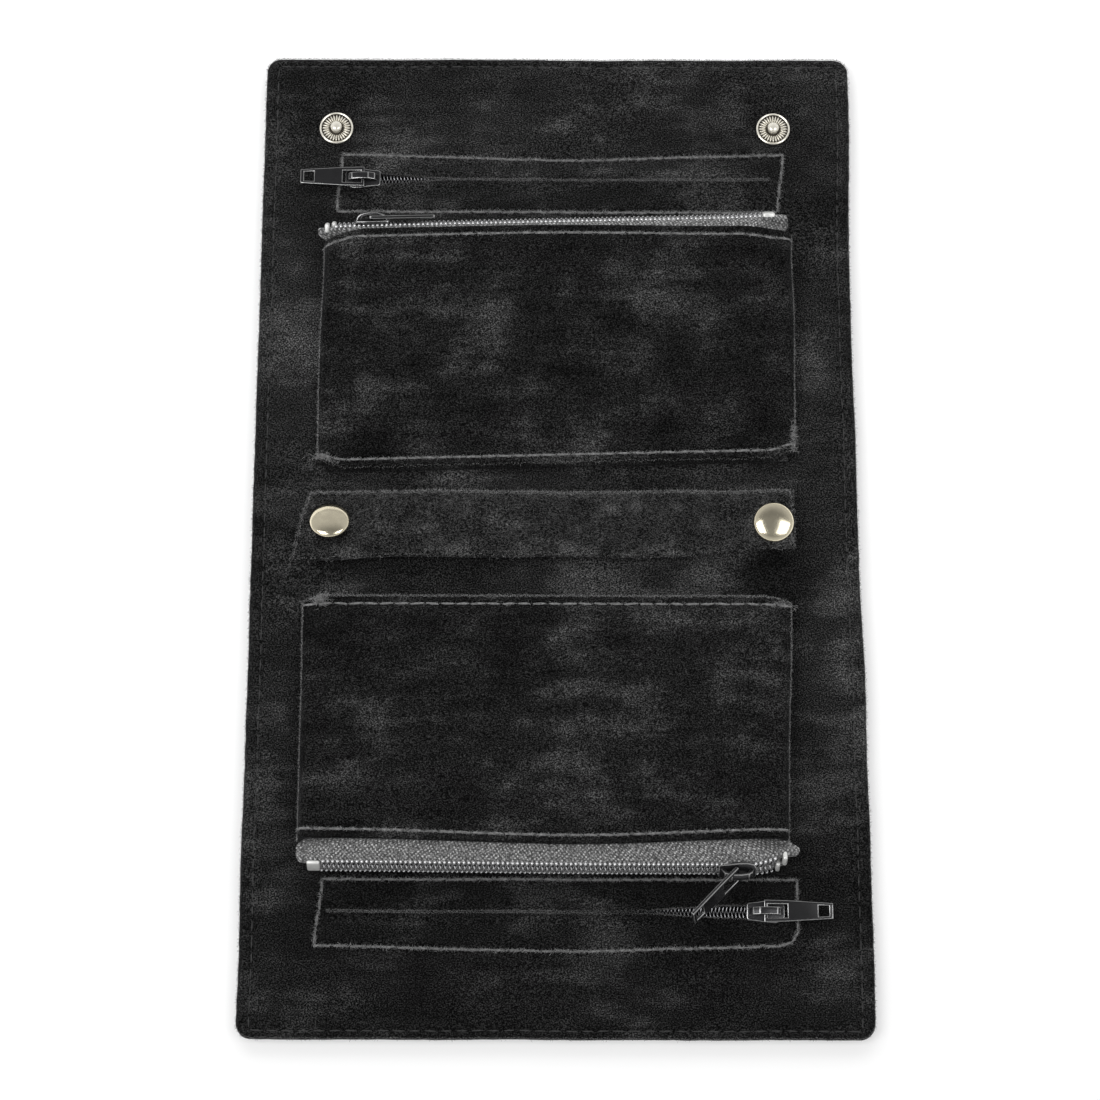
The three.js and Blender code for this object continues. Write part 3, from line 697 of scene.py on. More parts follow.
class Slit(NamedTuple):
    """A slit pocket: its zip's line, its slider's side, how far it is parted and its stitched seam."""
    name: str
    body: str
    y: float
    side: int
    parted: float
    seam: list


UPPER_SLIT = Slit(
    "upper_slit", "upper_section", joint_point("upper_slit_pull_swing").y, -1, 30.0,
    rectangle(-61, 91, 63, 108.5),
)
LOWER_SLIT = Slit(
    "lower_slit", "lower_section", joint_point("lower_slit_pull_swing").y, 1, 44.0,
    outline((-62, -114), (57.5, -114), (61.4, -112.9), (63, -110), (63, -96.8), (-62, -96.8)),
)
SLITS = (UPPER_SLIT, LOWER_SLIT)
EDGE_SEAMS = rectangle(
    -PANEL_HALF + EDGE_SEAM, BOTTOM_EDGE + EDGE_SEAM_BOTTOM, PANEL_HALF - EDGE_SEAM, TOP_EDGE - EDGE_SEAM_TOP
)
POCKET_SEAMS = UPPER_SLIT.seam + LOWER_SLIT.seam
PANEL_SEAMS = EDGE_SEAMS + POCKET_SEAMS


def distance_to(x, y, seam):
    start, end = seam
    along = end - start
    point = Vector((x, y))
    t = min(max((point - start).dot(along) / along.length_squared, 0.0), 1.0)
    return (point - start - t * along).length


def slit_gap(slit, x):
    """Half the slit's opening: nearly shut, and parted beside the slider."""
    from_end = SLIT_HALF - slit.side * x
    parted = 1 - smooth(from_end, SLIT_OPEN_FROM, slit.parted)
    return SLIT_GAP + SLIT_OPEN * parted * smooth(from_end, 0, SLIT_END_SHUT)


def sewn_shift(x, y):
    """How far the slits' seams are off square: some ends lean and the outer long sides sag."""
    lean = sum(
        slope * (y - middle) * hump(x - end, LEAN_WIDTH) * hump(y - middle, LEAN_HEIGHT)
        for end, middle, slope in SLIT_LEANS
    )
    sag = sum(depth * hump(x, SAG_SPAN) * hump(y - line, reach) for line, depth, reach in SEAM_SAGS)
    return lean, -sag


def panel_place(x, y):
    """The panel's cloth is not straight: its edges waver, its right edge is drawn in and its seams lean."""
    pull = sum(depth * hump(y - middle, reach) for middle, reach, depth in RIGHT_EDGE_PULLS)
    x_moved = x - pull * max(x / PANEL_HALF, 0) + WAVER * ripple(x * 0.3, y, WAVER_SPAN, 3.0)
    x_moved += PUCKER * ripple(x * 0.05, y, PUCKER_SPAN, 5.0)
    y_moved = y + WAVER * ripple(x, y * 0.3, WAVER_SPAN, 8.0) + PUCKER * ripple(x, y * 0.05, PUCKER_SPAN, 7.0)
    lean, sag = sewn_shift(x, y)
    return x_moved + lean, y_moved + sag


def lining_height(x, y):
    """The lining's face: swells of the padding, grooves at the seams and lips at the slits."""
    height = PANEL_TOP + SWELL_HEIGHT * ripple(x, y, SWELL_SPAN, 1.0)
    height -= GROOVE_DEPTH * max(hump(distance_to(x, y, seam), GROOVE_WIDTH) for seam in PANEL_SEAMS)
    for slit in SLITS:
        if abs(x) < SLIT_HALF:
            height += SLIT_LIP * hump(abs(y - slit.y) - SLIT_LIP_AT, SLIT_LIP_WIDTH)
    return height


def edge_share(x, y):
    """0 at the panel's outline to 1 where its edge has rounded over to the full height."""
    inside = min(PANEL_HALF - abs(x), TOP_EDGE - y, y - BOTTOM_EDGE)
    t = min(max(inside / EDGE_ROUND, 0.0), 1.0)
    return EDGE_WALL + (1 - EDGE_WALL) * math.sqrt(1 - (1 - t) ** 2)


def round_corner(x, y):
    """Draws the square corners in to an arc."""
    over_x = abs(x) - (PANEL_HALF - CORNER_RADIUS)
    over_y = max(y - (TOP_EDGE - CORNER_RADIUS), (BOTTOM_EDGE + CORNER_RADIUS) - y)
    if over_x <= 0 or over_y <= 0:
        return x, y
    shrink = max(over_x, over_y) / math.hypot(over_x, over_y)
    return (
        x - math.copysign(over_x * (1 - shrink), x),
        y - math.copysign(over_y * (1 - shrink), y),
    )


def panel_cuts():
    """The places across and along the panel where its cloth bends sharply."""
    across = [side * (PANEL_HALF - inset) for side in (-1, 1) for inset in EDGE_CUTS]
    along = [TOP_EDGE - inset for inset in EDGE_CUTS] + [BOTTOM_EDGE + inset for inset in EDGE_CUTS]
    for start, end in PANEL_SEAMS:
        for cut in SEAM_CUTS:
            if start.x == end.x:
                across.append(start.x + cut)
            elif start.y == end.y:
                along.append(start.y + cut)
    for slit in SLITS:
        along += [slit.y + cut for cut in SLIT_CUTS]
        across += [-SLIT_HALF, SLIT_HALF]
    for socket in SOCKETS:
        along += [socket.y + cut for cut in SOCKET_CUTS]
        across += [socket.x + cut for cut in SOCKET_CUTS]
    return across, along


def cover_height(x, y):
    """The cover's face, pressed in round its two snap sockets."""
    away = min(math.hypot(x - socket.x, y - socket.y) for socket in SOCKETS)
    pressed = SOCKET_PRESS * (1 - smooth(away, *SOCKET_PRESS_SPAN))
    return pressed + SOCKET_HOLE * (1 - smooth(away, *SOCKET_HOLE_SPAN))


def sink_slits(mesh):
    """Lowers a slot of the lining for each slit, and returns the slots' floors."""
    floor = set()
    for slit in SLITS:
        slot = [
            face for face in mesh.faces
            if face.normal.z > 0.5 and abs(face.calc_center_median().y - slit.y) < SLIT_SLOT
            and abs(face.calc_center_median().x) < SLIT_HALF
        ]
        if slot:
            floor.update(extrude(mesh, slot))
            bmesh.ops.delete(mesh, geom=slot, context="FACES_ONLY")
    return floor


def part_lips(x, y):
    """Moves the cloth beside a slit to the slit's opening."""
    for slit in SLITS:
        away = y - slit.y
        if abs(x) < SLIT_HALF and abs(away) < SLIT_REACH:
            move = (slit_gap(slit, x) - SLIT_SLOT) * hump(max(abs(away) - SLIT_SLOT, 0), SLIT_EASE)
            return y + move * math.copysign(1, away)
    return y


def panel_band(name, low, high, nodes):
    """One closed length of the padded panel, between two places along it."""
    across, along = panel_cuts()
    along = [y for y in along if low < y < high]
    mesh = cloth_grid((-PANEL_HALF, low), (PANEL_HALF, high), PANEL_GRID, across, along)
    bmesh.ops.recalc_face_normals(mesh, faces=mesh.faces)
    if mesh.faces[0].normal.z < 0:
        bmesh.ops.reverse_faces(mesh, faces=mesh.faces)
    raised = extrude(mesh, mesh.faces[:])
    bmesh.ops.translate(mesh, vec=(0, 0, PANEL_TOP), verts=raised)
    top = set(raised)
    bmesh.ops.recalc_face_normals(mesh, faces=mesh.faces)
    floor = sink_slits(mesh)
    for vert in mesh.verts:
        x, y, _ = vert.co
        share = edge_share(x, y)
        if vert in floor:
            z = SLIT_FLOOR
        elif vert in top:
            z = PANEL_MIDDLE + (lining_height(x, y) - PANEL_MIDDLE) * share
        else:
            z = PANEL_MIDDLE * (1 - share) + cover_height(x, y)
        x, y = round_corner(x, part_lips(x, y))
        vert.co = (*panel_place(x, y), z)
    for face in mesh.faces:
        face.material_index = 1 if face.normal.z < -0.5 else 0
    bmesh.ops.recalc_face_normals(mesh, faces=mesh.faces)
    piece = new_piece(name, mesh, LINING_VELVET, COVER_VELVET, sharp=60)
    bend_at(piece)
    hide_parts(*nodes)


def bend_at(piece):
    """Bakes a piece's place into its mesh."""
    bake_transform(piece)


def plies(*sections):
    return [f"{ply}_{section}" for section in sections for ply in ("cover", "padding", "lining")]


BANDS = (
    ("top_band", UPPER_JOIN, TOP_EDGE, ("top_flap", "upper_section"), TOP_FOLD, plies("top_flap", "upper")),
    ("upper_band", SPINE_JOIN, UPPER_JOIN, ("upper_section", "spine"), UPPER_FOLD, plies("spine")),
    ("lower_band", BOTTOM_EDGE, SPINE_JOIN, ("spine", "lower_section"), LOWER_FOLD, plies("lower")),
)


class Seat(NamedTuple):
    """A point for a stitch or a fibre: its place, the way the seam runs and the way out of the cloth."""
    place: Vector
    along: Vector
    out: Vector


def stitch(seat, shown):
    """Where one stitch's bead goes: a short rounded length of thread, never quite straight."""
    across = seat.out.cross(seat.along).normalized()
    turn = Matrix((seat.along, across, seat.out)).transposed().to_4x4()
    askew = Matrix.Rotation(PILE.uniform(-0.1, 0.1), 4, "Z")
    length = STITCH_LENGTH * PILE.uniform(0.85, 1.1)
    size = Matrix.Diagonal((length / 2, STITCH_WIDTH / 2, STITCH_HEIGHT / 2, 1))
    lying = Matrix.Rotation(math.pi / 2, 4, "Y")
    return Matrix.Translation(seat.place + seat.out * shown) @ turn @ askew @ size @ lying


def fibre(seat, length=FIBRE_LENGTH, spread=FIBRE_SPREAD):
    """Where one fibre goes: it starts beside the seam and leans its own way."""
    across = seat.out.cross(seat.along).normalized()
    heading = PILE.uniform(0, 2 * math.pi)
    lift = PILE.uniform(0.05, 0.7)
    flat = seat.along * math.cos(heading) + across * (0.8 * math.sin(heading))
    way = flat * math.cos(lift) + seat.out * math.sin(lift)
    reach = length * PILE.uniform(0.5, 1.3)
    middle = seat.place + across * PILE.gauss(0, spread) + seat.out * FIBRE_RAISED + way * (reach / 2)
    size = Matrix.Diagonal((FIBRE_RADIUS, FIBRE_RADIUS, reach, 1))
    return Matrix.Translation(middle) @ way.to_track_quat("Z", "X").to_matrix().to_4x4() @ size


def evenly(first, last, count):
    """The middles of so many even steps."""
    return [first + (i + 0.5) * (last - first) / count for i in range(count)]


def spaced(start, end, pitch):
    """Points about one pitch apart along a straight length."""
    count = max(1, round((end - start).length / pitch))
    return [start.lerp(end, t) for t in evenly(0, 1, count)]


def seam_seats(seam, pitch, low, high):
    """Seats along a seam of the lining, between two places along the panel."""
    start, end = seam
    along = (end - start).normalized().to_3d()
    seats = []
    for x, y in spaced(start, end, pitch):
        if low < y <= high:
            place = Vector((*panel_place(x, y), lining_height(x, y)))
            seats.append(Seat(place, along, UP))
    return seats


def lip_seats(slit, side):
    """Seats along one lip of a slit."""
    seats = []
    for x in evenly(-SLIT_HALF, SLIT_HALF, round(2 * SLIT_HALF / FIBRE_PITCH / LIP_FIBRES)):
        y = slit.y + side * (slit_gap(slit, x) + SLIT_LIP_SEAT)
        seats.append(Seat(Vector((*panel_place(x, y), PANEL_TOP)), RIGHT, UP))
    return seats


def outline_seats(low, high):
    """Seats round the panel's outline, on the turn of its edge."""
    half = PANEL_HALF - OUTLINE_INSET
    edges = rectangle(-half, BOTTOM_EDGE + OUTLINE_INSET, half, TOP_EDGE - OUTLINE_INSET)
    seats = []
    for start, end in edges:
        along = (end - start).normalized().to_3d()
        out = Vector((along.y, -along.x, 0.8)).normalized()
        for x, y in spaced(start, end, OUTLINE_PITCH):
            if low < y <= high:
                height = PANEL_MIDDLE + (PANEL_TOP - PANEL_MIDDLE) * edge_share(x, y) - FIBRE_RAISED
                place = Vector((*panel_place(*round_corner(x, y)), height))
                seats.append(Seat(place, along, out))
    return seats


def panel_sewing(name, low, high):
    """The stitches of one length of the panel, the pile raised along its seams and the fuzz on its edge."""
    edge = [s for seam in EDGE_SEAMS for s in seam_seats(seam, STITCH_PITCH, low, high)]
    pockets = [s for seam in POCKET_SEAMS for s in seam_seats(seam, STITCH_PITCH, low, high)]
    raised = [fibre(s) for seam in POCKET_SEAMS for s in seam_seats(seam, FIBRE_PITCH, low, high)]
    fuzz = [fibre(seat, *OUTLINE_FUZZ) for seat in outline_seats(low, high)]
    for slit in SLITS:
        if low < slit.y <= high:
            fuzz += [fibre(s, *LIP_FUZZ) for side in (-1, 1) for s in lip_seats(slit, side)]
    for part, make, laid, material in (
        ("edge_stitches", bead, [stitch(seat, -EDGE_STITCH_SUNK) for seat in edge], DARK_THREAD),
        ("stitches", bead, [stitch(seat, STITCH_SHOWN) for seat in pockets], THREAD),
        ("raised_pile", spike, raised, PILE_TIPS_SHEEN),
        ("edge_fuzz", spike, fuzz, EDGE_PILE_SHEEN),
    ):
        if laid:
            piece = scattered(f"{part}_{name}", make, laid, material)
            bend_at(piece)


def make_panel():
    for name, low, high, bodies, fold, nodes in BANDS:
        panel_band(f"panel_{name}", low, high, nodes)
        panel_sewing(name, low, high)


# Zips


def pouch_frame(pouch):
    """From a pouch's own frame to the roll's: x along its seam, y out to its zip, z up."""
    joint = JOINTS[f"{pouch.name}_lift"]
    across = Vector(joint["axis"]).normalized()
    turn = Matrix((across, UP.cross(across), UP)).transposed().to_4x4()
    return Matrix.Translation(joint_point(f"{pouch.name}_lift") + pouch.shift * RIGHT) @ turn


def zip_frame(pouch, roll=0.0):
    """A pouch zip's frame: x along it, y down its face and z out of it, rolled back on its middle line."""
    lean = Matrix.Rotation(ZIP_LEAN + roll - math.pi / 2, 4, "X")
    return pouch_frame(pouch) @ Matrix.Translation((0, pouch.depth, ZIP_RISE)) @ lean


def slit_frame(slit, raised=0.0):
    turn = Matrix.Rotation(math.pi if slit.side > 0 else 0, 4, "Z")
    return Matrix.Translation((0, slit.y, SLIT_CHAIN_Z + raised)) @ turn


def end_curl(x, top, bottom):
    """How far a line is drawn in near its two ends, from the depth of each and the x where it begins."""
    return top[0] * smooth(-x, top[1], ZIP_END) + bottom[0] * smooth(x, bottom[1], ZIP_END)


def zip_curl(pouch, x):
    return end_curl(x, pouch.zip_top_curl, pouch.zip_bottom_curl)


def coil_turn(side):
    """One turn of the coil on one side of a zip: a slanted bar, and the round bend at its outer end."""
    length = (COIL_REACH + COIL_OVERLAP) / 2
    middle = side * (COIL_REACH - COIL_OVERLAP) / 2
    slant = Matrix.Translation((0, middle, COIL_PROUD)) @ Matrix.Rotation(side * COIL_SLANT, 4, "Z")
    size = Matrix.Diagonal((COIL_RADIUS, length, COIL_HEIGHT, 1))
    bar = slant @ size @ Matrix.Rotation(math.pi / 2, 4, "X")
    bend = slant @ Matrix.Translation((0, side * (length - COIL_HEAD), 0))
    return bar, bend @ Matrix.Diagonal((COIL_HEAD, COIL_HEAD, COIL_HEIGHT, 1))


def coil(node, body, zip_place, side, end, slider_x, parted, pitch, material, curl=lambda x: 0):
    """One half of a zip's coil: its turns, parted between the slider and the zip's top end."""
    turns = []
    fineness = Matrix.Diagonal((pitch / COIL_PITCH, 1, 1, 1))
    for i in range(round(2 * end / pitch)):
        x = -end + (i + 0.5 + 0.25 * side) * pitch
        apart = parted * smooth(slider_x - x, -2, 8)
        place = zip_place @ Matrix.Translation((x, side * apart, -curl(x))) @ fineness
        turns += [place @ part for part in coil_turn(side)]
    on_body(scattered(f"{node}_coil", bead, turns, material, sharp=180), body, "zip_coil", node)


def bevel_all(mesh, width, segments=2, least=25):
    """Rounds the edges that are sharper than an angle; the rounded faces take the second slot, which on the
    sliders and pulls is a painted highlight.
    """
    edges = [e for e in mesh.edges if len(e.link_faces) == 2 and e.calc_face_angle(0) > math.radians(least)]
    rounded = bmesh.ops.bevel(
        mesh, geom=edges, offset=width, offset_type="OFFSET", segments=segments, profile=0.5, affect="EDGES",
        material=-1,
    )
    for face in rounded["faces"]:
        face.material_index = 1


def plate_from(points, bottom, top):
    """A flat plate from a few outline points."""
    mesh = bmesh.new()
    corners = [mesh.verts.new((x, y, bottom)) for x, y in points]
    raised = extrude(mesh, [mesh.faces.new(corners)])
    bmesh.ops.translate(mesh, vec=(0, 0, top - bottom), verts=raised)
    bmesh.ops.recalc_face_normals(mesh, faces=mesh.faces)
    return mesh


def add_mesh(target, part, matrix=Matrix.Identity(4)):
    """Adds a part's mesh to another one and frees it."""
    data = bpy.data.meshes.new("part")
    part.to_mesh(data)
    part.free()
    data.transform(matrix)
    target.from_mesh(data)
    bpy.data.meshes.remove(data)


def slider_plate(bottom, top):
    """A slider's plate: two rounded shoulders at its mouth and a narrower tail."""
    half = [(-4.95, 1.3), (-4.3, 2.5), (-2.6, 3.0), (-0.4, 2.95), (2.2, 2.5), (4.4, 2.3), (4.95, 1.9)]
    mesh = plate_from(half + [(x, -y) for x, y in reversed(half)], bottom, top)
    bevel_all(mesh, 0.22)
    return mesh


def slider_flanges(bottom, top):
    """The edges of a plate, turned towards the other plate to guide the coil."""
    mesh = bmesh.new()
    for side in (-1, 1):
        points = [(-1.6, 2.95), (2.2, 2.5), (4.7, 2.25), (4.7, 1.85), (2.2, 2.05), (-1.6, 2.5)]
        flange = plate_from([(x, side * y) for x, y in points], bottom, top)
        bevel_all(flange, 0.12, 1)
        add_mesh(mesh, flange)
    return mesh


def slider_bail(base):
    """The bridge along a slider that carries its pull tab."""
    points = [
        (-4.5, base - 0.3), (-3.9, base + 1.1), (-3.0, base + 1.8), (-1.0, base + 2.2), (1.6, base + 2.2),
        (3.4, base + 1.5), (4.5, base - 0.3), (3.4, base - 0.3), (2.7, base + 0.7), (1.2, base + 1.5),
        (-1.2, base + 1.5), (-2.6, base + 1.1), (-3.3, base - 0.3),
    ]
    mesh = plate_from(points, -1.0, 1.0)
    bevel_all(mesh, 0.2, 2, 12)
    bmesh.ops.rotate(mesh, matrix=Matrix.Rotation(math.pi / 2, 3, "X"), verts=mesh.verts)
    return mesh


def slider(name, zip_place, x, plate_bottom, plate_back):
    """A slider: two plates with turned edges, the post that joins them and the bail for its pull."""
    mesh = slider_plate(plate_bottom, plate_bottom + PLATE_THICKNESS)
    add_mesh(mesh, slider_plate(plate_back - PLATE_THICKNESS, plate_back))
    add_mesh(mesh, slider_flanges(plate_bottom - 0.3, plate_bottom + 0.2))
    add_mesh(mesh, slider_flanges(plate_back - 0.2, plate_back + 0.3))
    post = [(-4.6, -0.4), (-2.0, -0.4), (-2.0, 0.4), (-4.6, 0.4)]
    add_mesh(mesh, plate_from(post, plate_back - 0.4, plate_bottom + 0.3))
    add_mesh(mesh, slider_bail(plate_bottom + PLATE_THICKNESS))
    mesh.transform(zip_place @ Matrix.Translation((x, 0, 0)))
    piece = new_piece(f"{name}_slider_body", mesh, GUNMETAL, EDGE_HIGHLIGHT)
    on_body(piece, f"{name}_slider", "black_enamel", f"{name}_slider")


def pull_tab():
    """A tapered pull tab: an eye for the bail and a square hole near its tip."""
    mesh = bmesh.new()
    bmesh.ops.create_grid(mesh, x_segments=5, y_segments=3, size=1)
    columns = (-0.5, 0.4, 5.6, 13.6, 16.4, PULL_REACH)
    for vert in mesh.verts:
        x = columns[round((vert.co.x + 1) * 2.5)]
        outer = 2.9 - 0.85 * max(x - 3.5, 0) / (PULL_REACH - 3.5)
        inner = 1.75 - 0.4 * max(x - 5.6, 0) / (PULL_REACH - 5.6)
        vert.co = (x, math.copysign(outer if abs(vert.co.y) > 0.5 else inner, vert.co.y), 0)
    holes = []
    for face in mesh.faces:
        middle = face.calc_center_median()
        if abs(middle.y) < 0.1 and (0.4 < middle.x < 5.6 or 13.6 < middle.x < 16.4):
            holes.append(face)
    bmesh.ops.delete(mesh, geom=holes, context="FACES")
    bmesh.ops.translate(mesh, vec=(0, 0, PULL_THICKNESS), verts=extrude(mesh, mesh.faces[:]))
    bmesh.ops.translate(mesh, vec=(0, 0, -PULL_THICKNESS / 2), verts=mesh.verts)
    bmesh.ops.recalc_face_normals(mesh, faces=mesh.faces)
    bevel_all(mesh, 0.2)
    return mesh


def pull(name, zip_place, x, pin, tilt, twist=0.0):
    mesh = pull_tab()
    turn = Matrix.Rotation(tilt, 4, "Y") @ Matrix.Rotation(twist, 4, "X")
    mesh.transform(zip_place @ Matrix.Translation((x, 0, pin)) @ turn)
    piece = new_piece(f"{name}_pull_tab", mesh, BLACK_ENAMEL, EDGE_HIGHLIGHT)
    on_body(piece, f"{name}_pull", "black_enamel", f"{name}_pull")


def stop(node, body, zip_place, low, high, drawn_in):
    """A bright stop crimped on the tape."""
    mesh = bmesh.new()
    bmesh.ops.create_cube(mesh, size=1)
    size = Vector(high) - Vector(low)
    middle = (Vector(high) + Vector(low)) / 2
    bmesh.ops.scale(mesh, vec=size, verts=mesh.verts)
    bmesh.ops.translate(mesh, vec=middle, verts=mesh.verts)
    bevel_all(mesh, 0.5, 3)
    mesh.transform(zip_place @ Matrix.Translation((0, 0, -drawn_in)))
    on_body(new_piece(f"{node}_metal", mesh, BRIGHT_STOP, BRIGHT_STOP), body, "bright_stop", node)


# Slit zips


def slit_tape(slit, zip_place, side, node):
    mesh = cloth_grid((-SLIT_TAPE_HALF, SLIT_TAPE[0]), (SLIT_TAPE_HALF, SLIT_TAPE[1]), SLIT_TAPE_GRID)
    shape(mesh, lambda x, y, z: Vector((x, side * y, 0.15 * ripple(x, y, 9.0, 5.0))))
    thicken(mesh, TAPE_THICKNESS)
    mesh.transform(zip_place)
    piece = new_piece(f"{node}_cloth", mesh, TAPE_WEAVE)
    on_body(piece, slit.body, "zip_tape", node)


def make_slit_zip(slit):
    place = slit_frame(slit)
    zip_place = slit_frame(slit, SLIT_COIL_RAISED - COIL_PROUD)
    for face, side in (("inner", -1), ("outer", 1)):
        slit_tape(slit, place, side, f"{slit.name}_tape_{face}")
        coil(
            f"{slit.name}_chain_{face}", slit.body, zip_place, side, SLIT_COIL_END, SLIT_SLIDER_X,
            SLIT_COIL_PARTED, SLIT_COIL_PITCH, SHADED_COIL,
        )
    plate_bottom = PANEL_TOP + SLIT_PLATE_CLEAR - SLIT_CHAIN_Z
    pin = plate_bottom + PLATE_THICKNESS + SLIT_PIN
    slider(slit.name, place, SLIT_SLIDER_X, plate_bottom, SLIT_PLATE_BACK)
    pull(slit.name, place, SLIT_SLIDER_X, pin, math.pi)


# Pouches


def lip_line(pouch, x):
    """How far out the velvet's lip lies."""
    top, bottom = pouch.lip_back
    back = top + (bottom - top) * smooth(x, -10, 58)
    return pouch.depth - back - end_curl(x, pouch.lip_top_curl, pouch.lip_bottom_curl)


def front_half(pouch, y, side):
    """The front's reach to one side, which wavers along that side."""
    end = 0 if side < 0 else 1
    half = pouch.seam_sides[end] + (pouch.lip_sides[end] - pouch.seam_sides[end]) * y / pouch.depth
    return half + 0.5 * ripple(7 * side, y, 21.0, pouch.depth)


def front_shift(pouch, x, y):
    """How far a point of the front is moved out: the seam has its own place and rounded corners."""
    near_seam = 1 - min(y / lip_line(pouch, x), 1)
    reach = front_half(pouch, 0, math.copysign(1, x))
    corner = SEAM_CORNER * smooth(abs(x), reach - SEAM_CORNER_SPAN, reach) ** 2
    corner *= max(1 - y / pouch.corner_reach, 0) ** 2
    return LIP_SHIFT + (pouch.seam_shift - LIP_SHIFT) * near_seam + corner


def front_height(pouch, x, y):
    """The front's face: a wedge with a soft crown and a groove at each seam."""
    lip = lip_line(pouch, x)
    t = y / lip
    height = POUCH_SEAM_HEIGHT + (POUCH_LIP_HEIGHT - POUCH_SEAM_HEIGHT) * t
    height += POUCH_CROWN * math.sin(math.pi * min(t, 1)) + 0.3 * ripple(x, y, 24.0, pouch.depth)
    height -= LIP_END_DROP * smooth(abs(x), 56, ZIP_END) * t ** 4
    height -= GROOVE_DEPTH * hump(y - SEAM_STITCH, GROOVE_WIDTH)
    height -= GROOVE_DEPTH * hump(y - (lip - LIP_STITCH), GROOVE_WIDTH)
    return height


def front_place(pouch, length, x, y):
    """Where a point of the flat front goes: over the two sides, round the seam edge and under at the lip."""
    side = math.copysign(1, x)
    angle = min(max((abs(x) - FLAT_HALF) / SIDE_CLOTH, 0.0), 1.0) * math.pi / 2
    seam_turn = min(y / SEAM_ROLL, 1) * math.pi / 2
    start = SEAM_ROLL * SEAM_BULGE
    lip = lip_line(pouch, max(min(x, FACE_HALF), -FACE_HALF))
    y_front = start * (1 - math.cos(seam_turn))
    y_front += (lip - start) * max(min(y, length) - SEAM_ROLL, 0) / (length - SEAM_ROLL)
    half = front_half(pouch, y_front, side)
    x_front = min(abs(x) / FLAT_HALF, 1) * (half - SIDE_ROLL) + SIDE_ROLL * math.sin(angle) ** SIDE_BOW
    top = front_height(pouch, side * min(x_front, FACE_HALF), y_front)
    share = math.sin(seam_turn) * math.cos(angle) ** SIDE_FALL
    z = POUCH_FOOT + (top - POUCH_FOOT) * share
    past = max(y - length, 0)
    turn = min(past / (math.pi * LIP_ROUND), 1) * math.pi
    y_front += LIP_ROUND * math.sin(turn) - max(past - math.pi * LIP_ROUND, 0)
    z -= LIP_ROUND * (1 - math.cos(turn)) * share
    x_front -= HEM_TUCK * turn / math.pi
    y_front += front_shift(pouch, side * x_front, y_front)
    return Vector((side * x_front, y_front, z))


def sew_on(piece, pouch, place, *nodes):
    """Bakes a piece of a pouch's front into place and hides the CAD nodes it stands for."""
    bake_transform(piece)
    if nodes:
        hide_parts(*nodes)


def pouch_front(pouch, place):
    length = pouch.depth - LIP_HEM
    end = length + math.pi * LIP_ROUND + LIP_FOLD
    across = [side * (FLAT_HALF + SIDE_CLOTH * t) for side in (-1, 1) for t in SIDE_CUTS]
    along = [SEAM_ROLL * t for t in SEAM_TURNS]
    along += [SEAM_STITCH + 0.7 + cut for cut in SEAM_CUTS] + [length - LIP_STITCH + cut for cut in SEAM_CUTS]
    along += [length + math.pi * LIP_ROUND * t for t in LIP_TURNS]
    cloth_half = FLAT_HALF + SIDE_CLOTH
    mesh = cloth_grid((-cloth_half, 0), (cloth_half, end), POUCH_GRID, across, along)
    shape(mesh, lambda x, y, z: front_place(pouch, length, x, y))
    thicken(mesh, POUCH_CLOTH)
    mesh.transform(place)
    piece = new_piece(f"{pouch.name}_front_cloth", mesh, POUCH_VELVET, sharp=70)
    sew_on(piece, pouch, place, f"{pouch.name}_front")


def pouch_back(pouch, place):
    """The pouch's plain back, a flat cloth with a faint ripple."""
    half = min(pouch.seam_sides + pouch.lip_sides)
    near, far = BACK_INSETS
    mesh = cloth_grid((-half, near), (half, pouch.depth - far), BACK_GRID)
    shape(mesh, lambda x, y, z: Vector((x, y, BACK_HEIGHT + 0.12 * ripple(x, y, 17.0, 2.0))))
    thicken(mesh, BACK_CLOTH)
    mesh.transform(place)
    piece = new_piece(f"{pouch.name}_back_cloth", mesh, POUCH_VELVET)
    on_body(piece, pouch.name, "pouch_velvet", f"{pouch.name}_back")


def front_point(pouch, x, y):
    """A point on the front's face, down the turn of its side where it is near one."""
    over = (abs(x) - front_half(pouch, y, math.copysign(1, x)) + SIDE_ROLL) / SIDE_ROLL
    sine = min(max(over, 0.0), 1.0) ** (1 / SIDE_BOW)
    share = (1 - sine * sine) ** (SIDE_FALL / 2)
    top = front_height(pouch, min(max(x, -FACE_HALF), FACE_HALF), y)
    return Vector((x, y + front_shift(pouch, x, y), POUCH_FOOT + (top - POUCH_FOOT) * share))


def front_seats(pouch, place, line, pitch, sunk=0.0):
    """Seats on a pouch's front along a line from side to side."""
    first = 0.4 - front_half(pouch, line(-FLAT_HALF), -1)
    last = front_half(pouch, line(FLAT_HALF), 1) - 0.4
    turn = place.to_3x3()
    seats = []
    for x in evenly(first, last, round((last - first) / pitch)):
        point = front_point(pouch, x, line(x))
        step = front_point(pouch, x + 0.2, line(x + 0.2)) - front_point(pouch, x - 0.2, line(x - 0.2))
        out = Vector((-step.z, 0, step.x)).normalized()
        seats.append(Seat(place @ (point - sunk * out), turn @ step.normalized(), turn @ out))
    return seats


def fray_seats(pouch, place):
    """Seats for the tufts of loose pile at the ends of a pouch's seam."""
    along = place.to_3x3() @ RIGHT
    seats = []
    for x, y, spread_x, spread_y, count in pouch.frays:
        for _ in range(count):
            point = front_point(pouch, PILE.gauss(x, spread_x), max(PILE.gauss(y, spread_y), 0.6))
            seats.append(Seat(place @ point, along, UP))
    return seats


